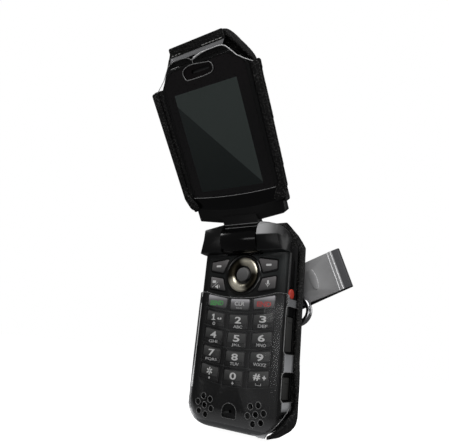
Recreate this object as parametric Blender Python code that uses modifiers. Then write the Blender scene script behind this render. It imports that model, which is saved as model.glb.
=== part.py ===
"""A clamshell phone in its leather and clear-vinyl carrying case, with a swivel belt clip.

Lengths are in millimetres and become metres where a mesh is made.
Each piece is laid out in the phone's frame: the lid hinge's axis is X through its origin, Y runs
to the back and Z up along the base. The frame's own origin is the clip's belt side, on its stud.
"""

import math

import bmesh
import bpy
from mathutils import Matrix, Vector

MM = 0.001
GAP = 0.3                     # clearance between neighbouring pieces

# Lid hinge
LID_TILT = 37.3               # lid leaning forward from the base's own line, at rest
KNUCKLE_R = 6.9
KNUCKLE_HALF = 10.2
BARREL_LOW = -6.5
BARREL_HIGH = 8.7
BARREL_FRONT = [              # half of the pair seen from the front, as (x, z)
    (10.5, BARREL_LOW), (10.5, BARREL_HIGH), (13.8, 8.5), (17.7, 7.6), (21.0, 6.1), (23.2, 4.0),
    (24.4, 1.6), (24.8, -1.0), (24.8, BARREL_LOW),
]
BARREL_SIDE = [               # seen from the side, as (y, z): a slanting lower face, a fuller upper one
    (-4.4, BARREL_LOW), (-6.5, 0.4), (-6.3, 3.6), (-5.5, 6.0), (-3.6, 8.0), (-1.5, BARREL_HIGH),
    (2.5, BARREL_HIGH), (5.5, 7.2), (7.0, 4.5), (7.2, 0.0), (7.2, BARREL_LOW),
]
BARREL_PLAN = [               # seen from above, as (x, y)
    (10.5, -6.5), (19.0, -6.5), (22.6, -5.4), (24.4, -3.2), (24.8, -0.5), (24.8, 7.2), (10.5, 7.2),
]
HINGE_BORE = 3.9
HINGE_CORE = 3.5
HINGE_CORE_END = 21.4
HINGE_BORE_END = 22.0

# Phone base
BASE_HALF = 24.8
BASE_FRONT = 1.3
BASE_BACK = 13.7
BASE_TOP = -2.0
BASE_BOTTOM = -87.2
BASE_CORNER = 13.8            # the two lower corners, seen from the front
BASE_HEEL = 9.0               # the rounding under the back
BASE_WALL = 1.2
PARTING = 10.0                # where the front and rear cases meet

# Keys
KEY_FRONT = 0.9
KEY_BACK = 3.0
KEY_PITCH_X = 13.6
KEY_PITCH_Z = 8.48
KEY_WIDE = 10.8
KEY_HIGH = 7.0
FIRST_ROW = -36.6
ROW_BOW = 0.0053              # rows rise by this times x squared
NAV_Z = -17.0
NAV_OUTER = 8.5
NAV_INNER = 4.6
OK_R = 3.7

# Pieces inside the base, as (x, y, z) spans
DOME_SHEET = ((-20.5, 20.5), (3.5, 3.8), (-70.5, -9.4))
MAIN_BOARD = ((-22.4, 22.4), (4.2, 5.2), (-72.0, -9.4))
BATTERY = ((-17.4, 17.4), (6.2, 12.1), (-75.0, -31.0))
BATTERY_COVER = ((-18.0, 18.0), (12.6, 13.7), (-76.0, -30.0))
ANTENNA = ((-9.0, 9.0), (6.4, 9.4), (-84.0, -77.5))
USB_SHELL = ((18.2, 23.2), (5.5, 8.7), (-71.0, -63.0))
USB_MOUTH = ((19.4, 25.0), (6.0, 8.2), (-70.4, -63.6))
JACK_BODY = ((18.2, 23.2), (5.5, 9.5), (-46.2, -38.6))
JACK_PLACE = (7.5, -42.4)
JACK_R = 1.3
SPEAKER_DEPTH = (3.0, 5.8)
SPEAKER_HEIGHT = (-83.2, -74.6)
MOTOR_PLACE = (8.2, -22.5)
MOTOR_R = 2.2

# Base sleeve: clear vinyl in front, leather behind
VINYL_THICK = 0.4
VINYL_FRONT = 0.15
VINYL_BACK = 12.0
LEATHER_THICK = 1.6
LEATHER_LIP = 9.7
LEATHER_TOP = 13.0
LEATHER_NECK = [              # the back's top edge, which rises behind the hinge, as (x, z)
    (27.4, -2.1), (22.3, 4.9), (15.4, 12.5),
]
LEATHER_FLARE = 1.8
CORNER_LIP_X = 19.0           # only the lower right corner of the leather comes forward
MIC_Z = -79.8
MIC_HALF = 4.0
GRILLE_X = 14.0
GRILLE_Z = -79.0
GRILLE_RING = 4.1
GRILLE_HOLE = 1.35

# Right and left sides of the base
COVER_FRONT = 3.0
COVER_BACK = 9.0
COVER_THICK = 1.2
UPPER_COVER = (-51.6, -36.1)
LOWER_COVER = (-71.8, -62.3)
UPPER_WINDOW = (-52.7, -31.5)
LOWER_WINDOW = (-72.6, -60.1)
LEFT_WINDOW = (-72.4, -31.0)
COVER_HINGE = 0.6             # the cover's hinge line, above its lower edge
SIDE_KEY_PLACE = (5.6, -25.65)
SIDE_KEY_HALF = (2.3, 2.3)
SIDE_KEY_ROUND = 1.9
SIDE_KEY_DEEP = 1.9
SIDE_KEY_PROUD = 0.5
ROCKER_X = -23.4
ROCKER_PLACE = (6.0, -42.0)
ROCKER_HALF = (1.5, 8.0)

# Lid, laid out straight up from the hinge
LID_HALF = 25.5
LID_FRONT = 1.6
LID_BACK = 8.4
LID_LOW = 9.7
LID_HIGH = 88.5
LID_WALL = 1.1
LID_SPLIT = 5.0
SCREEN_LOW = 27.5
SCREEN_HIGH = 76.3
SCREEN_HALF = 18.4
WINDOW_HALF = 23.2
WINDOW_LOW = 24.2
WINDOW_HIGH = 86.6

# Lid sleeve
FLANGE_LOW = 29.5
FLANGE_HIGH = 30.7
FLANGE_TOP = 80.6
BAND_INNER = 27.0
STRAP_HALF = 15.5
STRAP = (92.9, 97.2)

# Belt clip and ring
STUD_Z = -27.3
LEAF_FRONT = 21.4
LEAF_THICK = 0.9
CLIP_WIDE = 19.9
CLIP_ANGLE = 22.0
CLIP_END = 47.0
ORIGIN_DEPTH = LEAF_FRONT + LEAF_THICK
PATCH = (15.9, 18.4)
RING_X = 22.0
RING_Y = 18.5
RING_TOP = -25.3
RING_MAJOR = 6.2
RING_WIRE = 1.5

ARC_STEPS = 5


def clear_scene():
    for obj in list(bpy.data.objects):
        bpy.data.objects.remove(obj, do_unlink=True)


def collection(name):
    made = bpy.data.collections.new(name)
    bpy.context.scene.collection.children.link(made)
    return made


def finish(name, colour, roughness, metallic=0.0):
    made = bpy.data.materials.new(name)
    made.use_nodes = True
    shader = made.node_tree.nodes["Principled BSDF"]
    shader.inputs["Base Color"].default_value = (*colour, 1.0)
    shader.inputs["Roughness"].default_value = roughness
    shader.inputs["Metallic"].default_value = metallic
    made.diffuse_color = (*colour, 1.0)
    return made


def empty(name, place, parent=None, turn=(0.0, 0.0, 0.0)):
    made = bpy.data.objects.new(name, None)
    PARTS.objects.link(made)
    made.parent = parent
    made.location = [v * MM for v in place]
    made.rotation_euler = [math.radians(v) for v in turn]
    return made


def add(name, mesh, look, parent):
    """One sub-part, with its own copy of the finish."""
    made = bpy.data.objects.new(name, mesh)
    PARTS.objects.link(made)
    made.parent = parent
    if look:
        own = look.copy()
        own.name = name + "_finish"
        made.data.materials.clear()
        made.data.materials.append(own)
    return made


def smooth(obj, angle=35.0):
    obj.data.shade_smooth()
    obj.data.set_sharp_from_angle(angle=math.radians(angle))
    return obj


def rounded(corners, steps=ARC_STEPS):
    """The outline through (x, z, radius) corners, with each corner as an arc."""
    points = []
    for i, (x, z, radius) in enumerate(corners):
        here = Vector((x, z))
        if radius <= 0:
            points.append(here)
            continue
        before = (Vector(corners[i - 1][:2]) - here).normalized()
        after = (Vector(corners[(i + 1) % len(corners)][:2]) - here).normalized()
        half = before.angle(after) / 2
        centre = here + (before + after).normalized() * radius / math.sin(half)
        start = here + before * radius / math.tan(half) - centre
        end = here + after * radius / math.tan(half) - centre
        swing = start.angle_signed(end)
        for k in range(steps + 1):
            spin = Matrix.Rotation(-swing * k / steps, 2)
            points.append(centre + spin @ start)
    return points


TURNS = {
    "Y": Matrix(((1, 0, 0), (0, 0, -1), (0, 1, 0))),
    "X": Matrix(((0, 0, 1), (1, 0, 0), (0, 1, 0))),
    "Z": Matrix.Identity(3),
}


def slab(name, outline, axis, low, high, look=None, parent=None):
    """A flat outline given thickness from low to high along an axis."""
    curve = bpy.data.curves.new(name, "CURVE")
    curve.dimensions = "2D"
    curve.fill_mode = "BOTH"
    curve.extrude = (high - low) / 2 * MM
    spline = curve.splines.new("POLY")
    spline.points.add(len(outline) - 1)
    for point, place in zip(spline.points, outline):
        point.co = (place[0] * MM, place[1] * MM, 0.0, 1.0)
    spline.use_cyclic_u = True
    guide = bpy.data.objects.new(name, curve)
    bpy.context.scene.collection.objects.link(guide)
    turn = TURNS[axis]
    along = turn @ Vector((0, 0, 1))
    middle = (low + high) / 2 * MM * (1 if sum(along) > 0 else -1)
    guide.matrix_world = Matrix.Translation(along * middle) @ turn.to_4x4()
    bpy.context.view_layer.update()
    graph = bpy.context.evaluated_depsgraph_get()
    mesh = bpy.data.meshes.new_from_object(guide.evaluated_get(graph))
    mesh.transform(guide.matrix_world)
    bpy.data.objects.remove(guide, do_unlink=True)
    bpy.data.curves.remove(curve)
    weld(mesh)
    return add(name, mesh, look, parent)


def weld(mesh, distance=1e-6):
    bm = bmesh.new()
    bm.from_mesh(mesh)
    bmesh.ops.remove_doubles(bm, verts=bm.verts, dist=distance)
    bmesh.ops.recalc_face_normals(bm, faces=bm.faces)
    bm.to_mesh(mesh)
    bm.free()


def box(name, x, y, z, look=None, parent=None):
    """A block between the low and high values of x, y and z."""
    bm = bmesh.new()
    bmesh.ops.create_cube(bm, size=1.0)
    size = [(high - low) * MM for low, high in (x, y, z)]
    place = [(high + low) / 2 * MM for low, high in (x, y, z)]
    bmesh.ops.scale(bm, vec=size, verts=bm.verts)
    bmesh.ops.translate(bm, vec=place, verts=bm.verts)
    mesh = bpy.data.meshes.new(name)
    bm.to_mesh(mesh)
    bm.free()
    return add(name, mesh, look, parent)


def rod(name, radius, axis, low, high, place=(0.0, 0.0), look=None, parent=None, sides=32):
    """A cylinder along X or Y from low to high; place is its centre in the other two axes."""
    bm = bmesh.new()
    bmesh.ops.create_cone(
        bm, cap_ends=True, segments=sides, radius1=radius * MM, radius2=radius * MM,
        depth=(high - low) * MM,
    )
    turn = TURNS[axis].to_4x4()
    middle = (low + high) / 2 * MM
    if axis == "X":
        shift = Vector((middle, place[0] * MM, place[1] * MM))
    else:
        shift = Vector((place[0] * MM, middle, place[1] * MM))
    bmesh.ops.transform(bm, matrix=Matrix.Translation(shift) @ turn, verts=bm.verts)
    mesh = bpy.data.meshes.new(name)
    bm.to_mesh(mesh)
    bm.free()
    return add(name, mesh, look, parent)


def turned(name, profile, axis, look=None, parent=None, steps=40):
    """A (distance, radius) profile turned about X or Y."""
    bm = bmesh.new()
    chain = []
    for along, radius in profile:
        place = (along, 0.0, radius) if axis == "X" else (radius, along, 0.0)
        chain.append(bm.verts.new([v * MM for v in place]))
    for first, second in zip(chain, chain[1:]):
        bm.edges.new((first, second))
    mesh = bpy.data.meshes.new(name)
    bm.to_mesh(mesh)
    bm.free()
    made = add(name, mesh, look, parent)
    screw = made.modifiers.new("Turn", "SCREW")
    screw.axis = axis
    screw.steps = screw.render_steps = steps
    screw.use_merge_vertices = True
    screw.merge_threshold = 1e-5
    return made


def solidified(obj):
    """The object with its modifiers made part of its mesh and its faces turned outwards."""
    bpy.context.view_layer.update()
    graph = bpy.context.evaluated_depsgraph_get()
    mesh = bpy.data.meshes.new_from_object(obj.evaluated_get(graph))
    obj.modifiers.clear()
    weld(mesh)
    obj.data = mesh
    return obj


def adopt(obj, parent):
    """Gives a shape, and the shapes that cut it, one parent."""
    obj.parent = parent
    for step in obj.modifiers:
        if step.type == "BOOLEAN":
            adopt(step.object, parent)


def combine(target, other, operation):
    step = target.modifiers.new(other.name, "BOOLEAN")
    step.operation = operation
    step.object = other
    step.solver = "EXACT"
    for home in list(other.users_collection):
        home.objects.unlink(other)
    CUTTERS.objects.link(other)
    adopt(other, target.parent)
    other.hide_render = True
    other.display_type = "WIRE"
    return target


def cut(target, other):
    return combine(target, other, "DIFFERENCE")


def join(target, other):
    return combine(target, other, "UNION")


def keep(target, other):
    return combine(target, other, "INTERSECT")


def bevel(obj, width, segments=1, angle=40.0):
    step = obj.modifiers.new("Bevel", "BEVEL")
    step.width = width * MM
    step.segments = segments
    step.limit_method = "ANGLE"
    step.angle_limit = math.radians(angle)
    step.use_clamp_overlap = True
    return obj


def solid(name, plan, front, side, span, look=None, parent=None):
    """The body whose outlines from above, from the front and from the side are all given."""
    low, high = span
    made = slab(name, plan, "Z", low, high, look, parent)
    keep(made, slab(name + "_front_view", front, "Y", -40.0, 60.0))
    keep(made, slab(name + "_side_view", side, "X", -60.0, 60.0))
    return made


def base_solid(
    name, grow, look=None, parent=None, front=None, back=None, top=BASE_TOP, flare=0.0, heel=None,
):
    """The phone base's shape, grown all round; flare widens it near the bottom."""
    half = BASE_HALF + grow
    bottom = BASE_BOTTOM - grow
    near = BASE_FRONT - grow if front is None else front
    far = BASE_BACK + grow if back is None else back
    heel = BASE_HEEL + grow if heel is None else heel
    wide = half + flare
    plan = rounded([
        (-wide, near, 2.6 + max(grow, 0)), (-wide, far, 4.0 + grow),
        (wide, far, 4.0 + grow), (wide, near, 2.6 + max(grow, 0)),
    ])
    corner = BASE_CORNER + grow
    if flare:
        face = rounded([
            (-half, top, 0), (half, top, 0), (half, -56.0, 0), (wide, -69.0, 8.0),
            (wide, bottom, corner), (-wide, bottom, corner), (-wide, -69.0, 8.0),
            (-half, -56.0, 0),
        ], 6)
    else:
        face = rounded([
            (-half, top, 0), (half, top, 0), (half, bottom, corner), (-half, bottom, corner),
        ], 8)
    side = rounded([
        (near, top + 1, 0), (far, top + 1, 0), (far, bottom, heel),
        (near, bottom, 2.0 + max(grow, 0)),
    ], 7)
    return solid(name, plan, face, side, (bottom - 2, top + 0.5), look, parent)


def bowed(x, z):
    """A height on a row that rises towards both sides."""
    return z + ROW_BOW * x * x


def number_key_outline(column, row, grow=0.0):
    middle = column * KEY_PITCH_X
    left = middle - KEY_WIDE / 2 - grow
    right = middle + KEY_WIDE / 2 + grow
    top = FIRST_ROW - row * KEY_PITCH_Z + grow
    low = top - KEY_HIGH - 2 * grow
    over = [(x, bowed(x, top)) for x in (left, middle, right)]
    under = [(x, bowed(x, low)) for x in (right, middle, left)]
    return over + under


def grown(outline, grow):
    """A convex outline pushed out by a distance, edge by edge."""
    count = len(outline)
    area = sum(
        outline[i - 1][0] * outline[i][1] - outline[i][0] * outline[i - 1][1]
        for i in range(count)
    )
    sign = 1 if area > 0 else -1
    lines = []
    for i in range(count):
        a, b = Vector(outline[i]), Vector(outline[(i + 1) % count])
        along = (b - a).normalized()
        out = Vector((along.y, -along.x)) * sign
        lines.append((a + out * grow, along))
    points = []
    for i in range(count):
        (a, u), (b, v) = lines[i - 1], lines[i]
        scale = u.x * v.y - u.y * v.x
        if abs(scale) < 1e-6:
            points.append(tuple(b))
            continue
        t = ((b - a).x * v.y - (b - a).y * v.x) / scale
        points.append(tuple(a + u * t))
    return points


def mirrored(outline):
    return [(-x, z) for x, z in reversed(outline)]


SOFT_KEY = [(9.0, -9.3), (18.9, -10.7), (19.0, -14.7), (12.0, -16.0)]
FUNCTION_KEY = [(11.9, -19.3), (18.8, -18.1), (18.7, -23.7), (9.6, -25.1)]
CALL_KEY = [(7.4, -28.9), (19.1, -26.9), (19.1, -32.6), (8.0, -34.1)]
CLEAR_KEY = [(-5.4, -29.2), (5.4, -29.2), (5.4, -34.4), (-5.4, -34.4)]


def key_outlines():
    """Every flat key's name with its outline."""
    found = {
        "soft_key_left": mirrored(SOFT_KEY), "soft_key_right": SOFT_KEY,
        "function_key_left": mirrored(FUNCTION_KEY), "function_key_right": FUNCTION_KEY,
        "key_send": mirrored(CALL_KEY), "key_clear": CLEAR_KEY, "key_end": CALL_KEY,
    }
    labels = ("1", "2", "3", "4", "5", "6", "7", "8", "9", "star", "0", "hash")
    for i, label in enumerate(labels):
        found["key_" + label] = number_key_outline(i % 3 - 1, i // 3)
    return found


def make_keys(looks):
    for name, outline in key_outlines().items():
        middle = sum((Vector(p) for p in outline), Vector((0, 0))) / len(outline)
        home = empty(name + "_home", (middle.x, KEY_FRONT, middle.y), PHONE)
        local = [(x - middle.x, z - middle.y) for x, z in outline]
        made = slab(name, local, "Y", 0.0, KEY_BACK - KEY_FRONT, looks["key"], home)
        bevel(made, 0.35, 1, 60.0)
    ring = turned("nav_ring", [
        (3.2, NAV_INNER + 0.1), (3.2, NAV_OUTER - 0.4), (0.9, NAV_OUTER), (0.35, NAV_OUTER - 1.0),
        (0.35, NAV_OUTER - 2.4), (1.4, NAV_INNER), (3.2, NAV_INNER + 0.1),
    ], "Y", looks["gold"], empty("nav_ring_home", (0.0, 0.0, NAV_Z), PHONE), 40)
    solidified(ring)
    smooth(ring)
    ok = turned("ok_key", [
        (0.55, 0.0), (0.7, 2.4), (1.05, OK_R), (3.2, OK_R), (3.2, 0.0),
    ], "Y", looks["key"], empty("ok_key_home", (0.0, 0.0, NAV_Z), PHONE), 32)
    solidified(ok)
    smooth(ok)


def barrel(name, side):
    """A hinge barrel on one side of the base, with a faceted front and a rounded outer end."""
    front = [(side * x, z) for x, z in BARREL_FRONT]
    plan = [(side * x, y) for x, y in BARREL_PLAN]
    made = solid(name, plan, front, BARREL_SIDE, (BARREL_LOW - 1, BARREL_HIGH + 1), None, PHONE)
    return solidified(made)


def make_base(looks):
    front = base_solid("base_front_case", 0.0, looks["case"], PHONE)
    keep(front, box("front_half", (-60, 60), (-30, PARTING), (-120, 40)))
    for side in (-1, 1):
        join(front, barrel("barrel_%s" % ("left" if side < 0 else "right"), side))
    cut(front, base_solid("front_hollow", -BASE_WALL, top=-9.0, back=BASE_BACK + 5))
    cut(front, rod("knuckle_room", KNUCKLE_R + 0.4, "X", -KNUCKLE_HALF - GAP, KNUCKLE_HALF + GAP))
    cut(front, rod("hinge_bore", HINGE_BORE, "X", -HINGE_BORE_END, HINGE_BORE_END, sides=24))
    for name, outline in key_outlines().items():
        cut(front, slab(name + "_hole", grown(outline, GAP), "Y", -2.0, 5.0))
    cut(front, rod("nav_hole", NAV_OUTER + GAP, "Y", -2.0, 5.0, (0.0, NAV_Z), sides=40))
    for low, high in (UPPER_COVER, LOWER_COVER):
        cut(front, box(
            "port_%d" % -low, (BASE_HALF - 3, BASE_HALF + 3),
            (COVER_FRONT - GAP, COVER_BACK + GAP), (low - GAP, high + GAP),
        ))
    cut(front, slab("side_key_hole", side_key_outline(GAP, SIDE_KEY_PLACE), "X", 22.0, 28.0))
    y, z = ROCKER_PLACE
    deep, high = [half + GAP for half in ROCKER_HALF]
    cut(front, box("rocker_hole", (-28.0, -22.0), (y - deep, y + deep), (z - high, z + high)))
    for side in (-1, 1):
        for row in range(3):
            low = GRILLE_Z - 3.6 + row * 2.9
            x = sorted((side * (GRILLE_X - 3.4), side * (GRILLE_X + 3.4)))
            cut(front, box("sound_slot_%d_%d" % (side, row), x, (-2, 5), (low, low + 1.3)))
    cut(front, rod("mic_hole", 0.7, "Y", -2.0, 5.0, (0.0, MIC_Z), sides=12))

    rear = base_solid("base_rear_case", 0.0, looks["rear"], PHONE)
    keep(rear, box("rear_half", (-60, 60), (PARTING + GAP, 40), (-120, 40)))
    cut(rear, base_solid("rear_hollow", -BASE_WALL, top=-9.0, front=0.0))
    cut(rear, box("battery_door_hole", (-18.3, 18.3), (10, 20), (-76.3, -29.7)))
    bevel(box("battery_cover", *BATTERY_COVER, looks["rear"], PHONE), 0.3)

    box("keypad_dome_sheet", *DOME_SHEET, looks["film"], PHONE)
    box("main_board", *MAIN_BOARD, looks["board"], PHONE)
    bevel(box("battery", *BATTERY, looks["battery"], PHONE), 0.6)
    for side, word in ((-1, "left"), (1, "right")):
        x = sorted((side * (GRILLE_X - 5.5), side * (GRILLE_X + 3.0)))
        speaker = box("loudspeaker_" + word, x, SPEAKER_DEPTH, SPEAKER_HEIGHT, looks["steel"], PHONE)
        bevel(speaker, 0.8)
    rod("microphone", 2.0, "Y", 2.9, 4.4, (0.0, MIC_Z), looks["steel"], PHONE, 20)
    rod("vibration_motor", MOTOR_R, "X", 4.0, 16.0, MOTOR_PLACE, looks["steel"], PHONE, 20)
    box("antenna", *ANTENNA, looks["film"], PHONE)
    cut(box("usb_connector", *USB_SHELL, looks["steel"], PHONE), box("usb_mouth", *USB_MOUTH))
    jack = box("headset_jack", *JACK_BODY, looks["film"], PHONE)
    cut(jack, rod("jack_mouth", JACK_R, "X", 15.0, 27.0, JACK_PLACE, sides=16))

    for name, low, high in (
        ("hinge_cartridge", -HINGE_CORE_END, -GAP), ("hinge_pin", GAP, HINGE_CORE_END),
    ):
        rod(name, HINGE_CORE, "X", low, high, (0.0, 0.0), looks["steel"], PHONE, 24)


def side_key_outline(grow, place=(0.0, 0.0)):
    """The side key's rounded outline as (y, z), grown all round."""
    half_y, half_z = [half + grow for half in SIDE_KEY_HALF]
    y, z = place
    radius = SIDE_KEY_ROUND + grow
    return rounded([
        (y - half_y, z - half_z, radius), (y - half_y, z + half_z, radius),
        (y + half_y, z + half_z, radius), (y + half_y, z - half_z, radius),
    ], 4)


def make_side_controls(looks):
    home = empty("side_key_home", (BASE_HALF, *SIDE_KEY_PLACE), PHONE)
    key = slab("side_key", side_key_outline(0.0), "X", -SIDE_KEY_DEEP, SIDE_KEY_PROUD, looks["red"], home)
    bevel(key, 0.4, 2, 60.0)
    home = empty("volume_rocker_pivot", (ROCKER_X, *ROCKER_PLACE), PHONE)
    deep, high = ROCKER_HALF
    rocker = slab("volume_rocker", rounded([
        (-2.2, -high, 1.2), (-2.2, high, 1.2), (0.3, high, 0), (0.3, -high, 0),
    ], 3), "Y", -deep, deep, looks["key"], home)
    bevel(rocker, 0.3)
    for name, (low, high) in (("port_cover_upper", UPPER_COVER), ("port_cover_lower", LOWER_COVER)):
        home = empty(name + "_pivot", (BASE_HALF - COVER_THICK / 2, 6.0, low + COVER_HINGE), PHONE)
        half = COVER_THICK / 2
        half_deep = (COVER_BACK - COVER_FRONT) / 2
        lid = box(
            name, (-half, half), (-half_deep, half_deep),
            (-COVER_HINGE, high - low - COVER_HINGE), looks["rubber"], home,
        )
        bevel(lid, 0.25)


def make_base_sleeve(looks):
    vinyl = base_solid(
        "base_vinyl_front", GAP + VINYL_THICK, looks["vinyl"], PHONE,
        front=VINYL_FRONT, top=-22.0,
    )
    cut(vinyl, base_solid("vinyl_hollow", GAP, front=VINYL_FRONT + VINYL_THICK, top=-10.0))
    cut(vinyl, box("vinyl_rear", (-60, 60), (VINYL_BACK, 90), (-120, 40)))
    edge = [(x, -28.6 + 0.0066 * x * x) for x in range(-19, 20, 4)]
    cut(vinyl, slab(
        "vinyl_top", [(-60, -26.0)] + edge + [(60, -26.0), (60, 40), (-60, 40)], "Y", -10.0, 60.0,
    ))
    cut(vinyl, box("vinyl_side_top", (-60, 60), (3.0, 60), (-28.2, 40)))
    for low, high in (UPPER_WINDOW, LOWER_WINDOW):
        cut(vinyl, slab("side_window_%d" % -low, rounded([
            (1.6, low, 1.6), (1.6, high, 1.6), (30, high, 0), (30, low, 0),
        ], 4), "X", 20.0, 40.0))
    cut(vinyl, slab("side_window_left", rounded([
        (1.6, LEFT_WINDOW[0], 1.6), (1.6, LEFT_WINDOW[1], 1.6),
        (30, LEFT_WINDOW[1], 0), (30, LEFT_WINDOW[0], 0),
    ], 4), "X", -40.0, -20.0))
    arch = rounded([
        (-MIC_HALF, MIC_Z - 2.9, 1.0), (-MIC_HALF, MIC_Z + 3.5, 3.8),
        (MIC_HALF, MIC_Z + 3.5, 3.8), (MIC_HALF, MIC_Z - 2.9, 1.0),
    ])
    cut(vinyl, slab("mic_arch", arch, "Y", -3.0, 1.2))
    for side in (-1, 1):
        for k in range(7):
            turn = math.radians(60 * k + 15 * side)
            out = GRILLE_RING if k else 0.0
            x = side * GRILLE_X + out * math.cos(turn)
            z = GRILLE_Z + out * math.sin(turn)
            cut(vinyl, rod(
                "grille_%d_%d" % (side, k), GRILLE_HOLE, "Y", -3.0, 1.2, (x, z), sides=12,
            ))

    inner = GAP + VINYL_THICK + GAP
    outer = inner + LEATHER_THICK
    behind = BASE_BACK + GAP
    leather = base_solid(
        "base_leather_back", outer, looks["leather"], PHONE, front=-20.0,
        back=behind + LEATHER_THICK, top=LEATHER_TOP, flare=LEATHER_FLARE,
        heel=BASE_HEEL + LEATHER_THICK,
    )
    cut(leather, base_solid(
        "leather_hollow", inner, front=-30.0, back=behind, top=20.0, flare=LEATHER_FLARE,
        heel=BASE_HEEL,
    ))
    shoulders = LEATHER_NECK + mirrored(LEATHER_NECK)
    cut(leather, slab("leather_neck", (
        [(60.0, LEATHER_NECK[0][1])] + shoulders
        + [(-60.0, LEATHER_NECK[0][1]), (-60.0, 60.0), (60.0, 60.0)]
    ), "Y", -40.0, 60.0))
    cut(leather, slab("leather_lip", [
        (LEATHER_LIP, 40.0), (LEATHER_LIP, -75.0), (4.5, -79.5), (1.6, -84.0), (1.6, -120.0),
        (-40.0, -120.0), (-40.0, 40.0),
    ], "X", -60.0, 60.0))
    cut(leather, box("leather_sole", (-60.0, CORNER_LIP_X), (-40.0, 13.2), (-120.0, -79.0)))
    cut(leather, box("leather_left", (-60.0, 0.0), (-40.0, LEATHER_LIP), (-120.0, -70.0)))


def make_lid(looks):
    def lid_solid(
        name, grow, look=None, parent=None, front=None, back=None, high=LID_HIGH, low=LID_LOW,
    ):
        half = LID_HALF + grow
        near = LID_FRONT - grow if front is None else front
        far = LID_BACK + grow if back is None else back
        top = high + grow
        plan = rounded([
            (-half, near, 1.5), (-half, far, 4.0 + grow), (half, far, 4.0 + grow), (half, near, 1.5),
        ])
        face = rounded([
            (-half + 0.5, low + 2.1 - grow, 1.2), (-half, 19.0, 0), (-half, top - 9.0, 8.0),
            (-half + 8.5, top, 6.0), (half - 8.5, top, 6.0), (half, top - 9.0, 8.0),
            (half, 19.0, 0), (half - 0.5, low + 2.1 - grow, 1.2), (11.0, low - grow, 0),
            (-11.0, low - grow, 0),
        ])
        side = rounded([
            (near, low - 4, 0), (far, low - 4, 0), (far, top, 3.0), (near, top, 1.2),
        ])
        return solid(name, plan, face, side, (low - 5, top + 3), look, parent)

    front = lid_solid("lid_front_case", 0.0, looks["case"], LID)
    keep(front, box("lid_front_half", (-60, 60), (-20, LID_SPLIT), (-20, 120)))
    arm_half = KNUCKLE_HALF - 0.15
    arm = box("lid_arm", (-arm_half, arm_half), (0.6, LID_SPLIT - 0.2), (2.0, 13.0), None, LID)
    join(front, arm)
    join(front, rod("lid_knuckle", KNUCKLE_R, "X", -KNUCKLE_HALF, KNUCKLE_HALF, sides=36))
    cut(front, lid_solid("lid_front_hollow", -LID_WALL, low=20.0, back=20.0))
    cut(front, rod("lid_bore", HINGE_BORE, "X", -15.0, 15.0, sides=24))
    cut(front, slab("window_seat", rounded([
        (-WINDOW_HALF - GAP, WINDOW_LOW - GAP, 2.5), (-WINDOW_HALF - GAP, WINDOW_HIGH - 5, 4.0),
        (-15.6, WINDOW_HIGH + GAP, 3.0), (15.6, WINDOW_HIGH + GAP, 3.0),
        (WINDOW_HALF + GAP, WINDOW_HIGH - 5, 4.0), (WINDOW_HALF + GAP, WINDOW_LOW - GAP, 2.5),
    ]), "Y", -5.0, 4.0))

    rear = lid_solid("lid_rear_case", 0.0, looks["rear"], LID)
    keep(rear, box("lid_rear_half", (-60, 60), (LID_SPLIT + GAP, 30), (-20, 120)))
    cut(rear, lid_solid("lid_rear_hollow", -LID_WALL, low=12.0, front=-5.0))
    cut(rear, rod("lid_rear_room", KNUCKLE_R + GAP, "X", -30.0, 30.0, sides=36))
    cut(rear, rod("camera_hole", 3.6, "Y", 0.0, 12.0, (0.0, 70.0), sides=24))

    glass = slab("display_window", rounded([
        (-WINDOW_HALF, WINDOW_LOW, 2.4), (-WINDOW_HALF, WINDOW_HIGH - 5, 4.0),
        (-15.6, WINDOW_HIGH, 3.0), (15.6, WINDOW_HIGH, 3.0),
        (WINDOW_HALF, WINDOW_HIGH - 5, 4.0), (WINDOW_HALF, WINDOW_LOW, 2.4),
    ]), "Y", LID_FRONT, LID_FRONT + 0.9, looks["glass"], LID)
    cut(glass, slab("earpiece_slot", rounded([
        (-5.0, 83.0, 0.7), (-5.0, 84.6, 0.7), (5.0, 84.6, 0.7), (5.0, 83.0, 0.7),
    ], 3), "Y", -2.0, 5.0))
    box("display_panel", (-SCREEN_HALF - 2, SCREEN_HALF + 2), (2.8, 4.6),
        (SCREEN_LOW - 2.6, SCREEN_HIGH + 1.4), looks["screen"], LID)
    box("lid_board", (-20.0, 20.0), (5.0, 5.6), (26.0, 79.0), looks["board"], LID)
    bevel(box("earpiece", (-6.5, 6.5), (2.9, 5.0), (80.8, 86.0), looks["steel"], LID), 0.5)
    module = turned("camera_module", [
        (8.2, 0.0), (8.2, 2.0), (8.6, 2.6), (8.6, 3.2), (5.9, 3.2), (5.9, 0.0),
    ], "Y", looks["film"], empty("camera_home", (0.0, 0.0, 70.0), LID), 24)
    smooth(solidified(module))


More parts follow.
